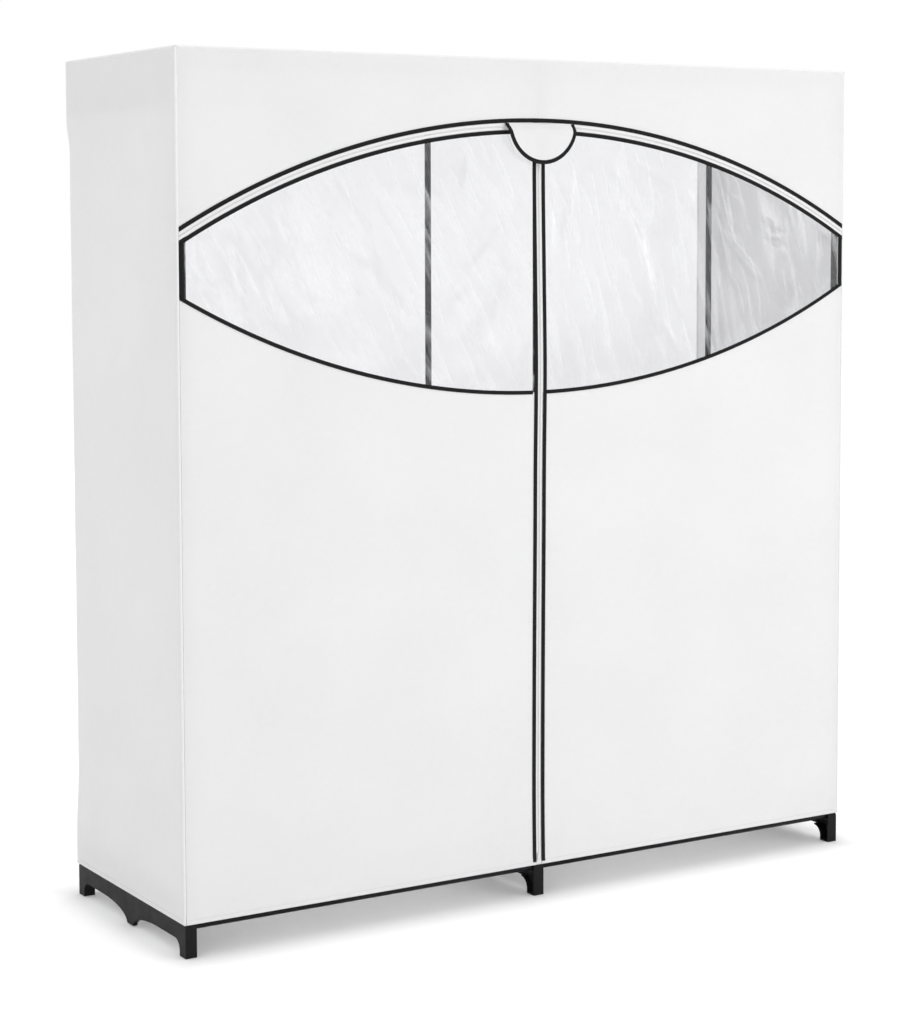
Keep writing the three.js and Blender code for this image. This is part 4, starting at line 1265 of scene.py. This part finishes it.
# %% [markdown]
# ## Flap
#
# A half-round flap is sewn under the arch and hides the sliders when the zips are closed. It stands off the
# front, least at its seam and most at its round edge. For an angle a round the half disc, x = R cos a and the
# cloth drops to R sin a. At each drop it stands out by b (1 - exp(-(drop / 11)^2)). It leaves the seam
# gently, so that it clears the tape above it when it is lifted.

# %% Flap and its tape
FLAP_TOP = 1505.0
FLAP_RADIUS = 75.0
FLAP_BACK = -240.15
FLAP_BULGE = 13.0
FLAP_RUN = 11.0
FLAP_START = 1.0
FLAP_COLUMNS, FLAP_ROWS = 60, 30
FLAP_CLOTH_FROM = 0.035
FLAP_TAPE_FROM = 0.02
FLAP_TAPE_STEPS = 90
FLAP_TAPE_HALF_WIDTH = 4.0
FLAP_TAPE_HALF_HEIGHT = 0.95
FLAP_TAPE_SEAT = 0.45


def flap_out(drop):
    """How far the flap stands off at a drop: b (1 - exp(-(drop / run)^2)), flat at its seam and again lower."""
    return FLAP_BULGE * (1 - np.exp(-(drop / FLAP_RUN) ** 2))


def flap_points(x, drop):
    """Points of the flap for a place across it and a drop below its seam."""
    return np.stack(np.broadcast_arrays(x, FLAP_BACK - CLOTH - flap_out(drop), FLAP_TOP - drop), axis=-1)


angle = np.linspace(FLAP_CLOTH_FROM, np.pi - FLAP_CLOTH_FROM, FLAP_COLUMNS)[:, None]
share = np.linspace(0, 1, FLAP_ROWS)[None, :]
across, drop = np.broadcast_arrays(
    FLAP_RADIUS * np.cos(angle), FLAP_START + (FLAP_RADIUS * np.sin(angle) - FLAP_START) * share)
flap = make_piece(
    "flap_cloth", flap_points(across, drop), grid_faces(*drop.shape), cover_cloth, flat_map(across, drop))
adopt(thicken(flap, CLOTH), "flap", "cover_fabric", "zip_flap")

edge_angle = np.linspace(FLAP_TAPE_FROM, np.pi - FLAP_TAPE_FROM, FLAP_TAPE_STEPS)
edge = flap_points(FLAP_RADIUS * np.cos(edge_angle), FLAP_RADIUS * np.sin(edge_angle))
section = rounded_section(FLAP_TAPE_HALF_WIDTH, FLAP_TAPE_HALF_HEIGHT, 14, 0.5)
radial = np.stack([np.cos(edge_angle), 0 * edge_angle, -np.sin(edge_angle)], axis=-1)
toward = np.array([0, -1.0, 0])
middle = (edge + [0, FLAP_TAPE_SEAT, 0])[:, None, :]
tape_points = middle + section[None, :, 0:1] * radial[:, None, :] + section[None, :, 1:2] * toward
flap_tape = strip_piece(
    "flap_tape", tape_points, black_tape, edge_angle[:, None] * FLAP_RADIUS, section[None, :, 0])
adopt(flap_tape, "flap", "binding_tape", "flap_binding")
print("flap stands off by", FLAP_BULGE, "mm")

# %% [markdown]
# ## Tubes
#
# Every pole and rail is the same 13 mm steel tube. A circle is carried along it outside and back inside,
# which makes one closed wall 0.8 mm thick with rounded mouths.

# %% Steel tubes
TUBE_RADIUS = 6.5
TUBE_WALL = 0.8
TUBE_SIDES = 40
NO_TUBE_LIES_ALONG = (0.2, 0.5, 0.84)


def tube_piece(name, start, end):
    """A tube between two points in metres: a round-ended wall profile turned once about its axis."""
    start = np.asarray(start, dtype=float) / MM
    end = np.asarray(end, dtype=float) / MM
    axis = end - start
    length = np.linalg.norm(axis)
    axis = axis / length
    side = np.cross(axis, NO_TUBE_LIES_ALONG)
    side = side / np.linalg.norm(side)
    other = np.cross(axis, side)
    outer = TUBE_RADIUS
    inner = TUBE_RADIUS - TUBE_WALL
    lip = TUBE_WALL / 2
    mouth = np.array([lip, 0.12 * lip, 0, 0.12 * lip, lip])
    round_lip = np.array([outer, outer - 0.5 * lip, outer - lip, inner + 0.5 * lip, inner])
    along = np.concatenate([mouth, [length / 2], length - mouth, [length / 2]])
    radius = np.concatenate([round_lip, [inner], round_lip[::-1], [outer]])
    angle = np.linspace(0, TAU, TUBE_SIDES, endpoint=False)
    ring = np.cos(angle)[:, None] * side + np.sin(angle)[:, None] * other
    points = start + along[None, :, None] * axis + radius[None, :, None] * ring[:, None, :]
    faces = grid_faces(TUBE_SIDES, len(radius), wrap=True, close=True)
    return face_outwards(make_piece(name, points, faces, coated_steel))


TUBES = ("upright_", "lower_rail_", "upper_rail_", "hanging_rod_")
tube_names = [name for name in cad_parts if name.startswith(TUBES)]
for name in tube_names:
    low, high = (np.array(corner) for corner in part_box(name))
    along = int(np.argmax(high - low))
    start = (low + high) / 2
    end = start.copy()
    start[along], end[along] = low[along], high[along]
    adopt(tube_piece(f"tube_{name}", start, end), "wardrobe", "black_tube", name)
print("tubes:", len(tube_names))

# %% [markdown]
# ## Moulded frames and zip hardware
#
# The shapes of the moulded frames and sliders are right in the solids, but a real moulding has no sharp edge.
# Each is copied, its loose triangles are merged back to flat faces, and a bevel rounds every edge a little.

# %% Rounded copies
MERGE_WITHIN = 0.02
FLAT_WITHIN = math.radians(1.0)
ROUND_FROM = math.radians(28)
MOULDED_EDGE = 0.5
CAST_EDGE = 0.25


def rounded_copy(name, node_name, width, material):
    """A copy of a solid with merged faces and rounded edges."""
    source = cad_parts[node_name]
    shell = bmesh.new()
    shell.from_mesh(source.data)
    bmesh.ops.remove_doubles(shell, verts=shell.verts, dist=MERGE_WITHIN * MM)
    bmesh.ops.dissolve_limit(shell, angle_limit=FLAT_WITHIN, verts=shell.verts, edges=shell.edges)
    mesh = bpy.data.meshes.new(name)
    shell.to_mesh(mesh)
    shell.free()
    mesh.materials.clear()
    mesh.materials.append(material)
    piece = bpy.data.objects.new(name, mesh)
    bpy.context.scene.collection.objects.link(piece)
    bevel = piece.modifiers.new("Edges", "BEVEL")
    bevel.width = width * MM
    bevel.segments = 2
    bevel.limit_method = "ANGLE"
    bevel.angle_limit = ROUND_FROM
    bevel.use_clamp_overlap = True
    piece.modifiers.new("Face normals", "WEIGHTED_NORMAL")
    return piece


for place in ("left", "centre", "right"):
    for part in ("base_frame", "top_frame"):
        node_name = f"{part}_{place}"
        moulding = rounded_copy(f"moulded_{node_name}", node_name, MOULDED_EDGE, moulded_black)
        adopt(moulding, "wardrobe", "black_plastic", node_name)
HARDWARE = {
    "arch_left_slider": "arch_slider_left", "arch_right_slider": "arch_slider_right",
    "centre_slider": "centre_slider", "arch_left_pull": "arch_pull_left", "arch_right_pull": "arch_pull_right",
    "centre_pull": "centre_pull",
}
for node_name, body in HARDWARE.items():
    casting = rounded_copy(f"cast_{node_name}", node_name, CAST_EDGE, slider_enamel)
    adopt(casting, body, "slider_metal", node_name)
retainer = rounded_copy("moulded_zip_retainer", "zip_retainer", CAST_EDGE, coil_nylon)
adopt(retainer, "door_left", "zip_tape", "zip_retainer")
print("rounded:", 7 + len(HARDWARE), "hard pieces")

# %% [markdown]
# ## Sizes of the sheets
#
# The heights that the valance, the doors and the windows were cut to, and their areas, are worked out here, but
# nothing is kept or done with them. The hems take another 12 mm of length. A curved edge makes the cut smaller
# than its rectangle, so the true area is worked out with it.

HEM_ALLOWANCE = 12.0


def cut_area(left, right, low, high):
    """The area between two edges, in square metres: the integral of high - low across the cut."""
    x = np.linspace(left, right, 400)
    height = high(x) - low(x)
    return float(np.sum((height[1:] + height[:-1]) / 2 * np.diff(x))) * MM * MM


valance_low = arc_height(ARCH_TAPE_LOW)
(PIPING_TOP - float(valance_low(PIPING_SIDE))) * MM
cut_area(-PIPING_SIDE, PIPING_SIDE, valance_low, panel_top)
sill = sill_height(SILL_RADIUS)
arch = arc_height(WINDOW_ARCH)
for name, side in HANDS.items():
    near, far = sorted((side * DOOR_INNER, side * DOOR_OUTER))
    (float(sill(DOOR_OUTER)) - HEM_BOTTOM + HEM_ALLOWANCE) * MM
    cut_area(near, far, flat_at(HEM_BOTTOM - HEM_ALLOWANCE), sill)
    (float(arch(DOOR_INNER)) - float(sill(DOOR_INNER))) * MM
    cut_area(near, far, sill, arch)
print("sheets: back, two sides, top, valance, two doors, two windows and the flap")
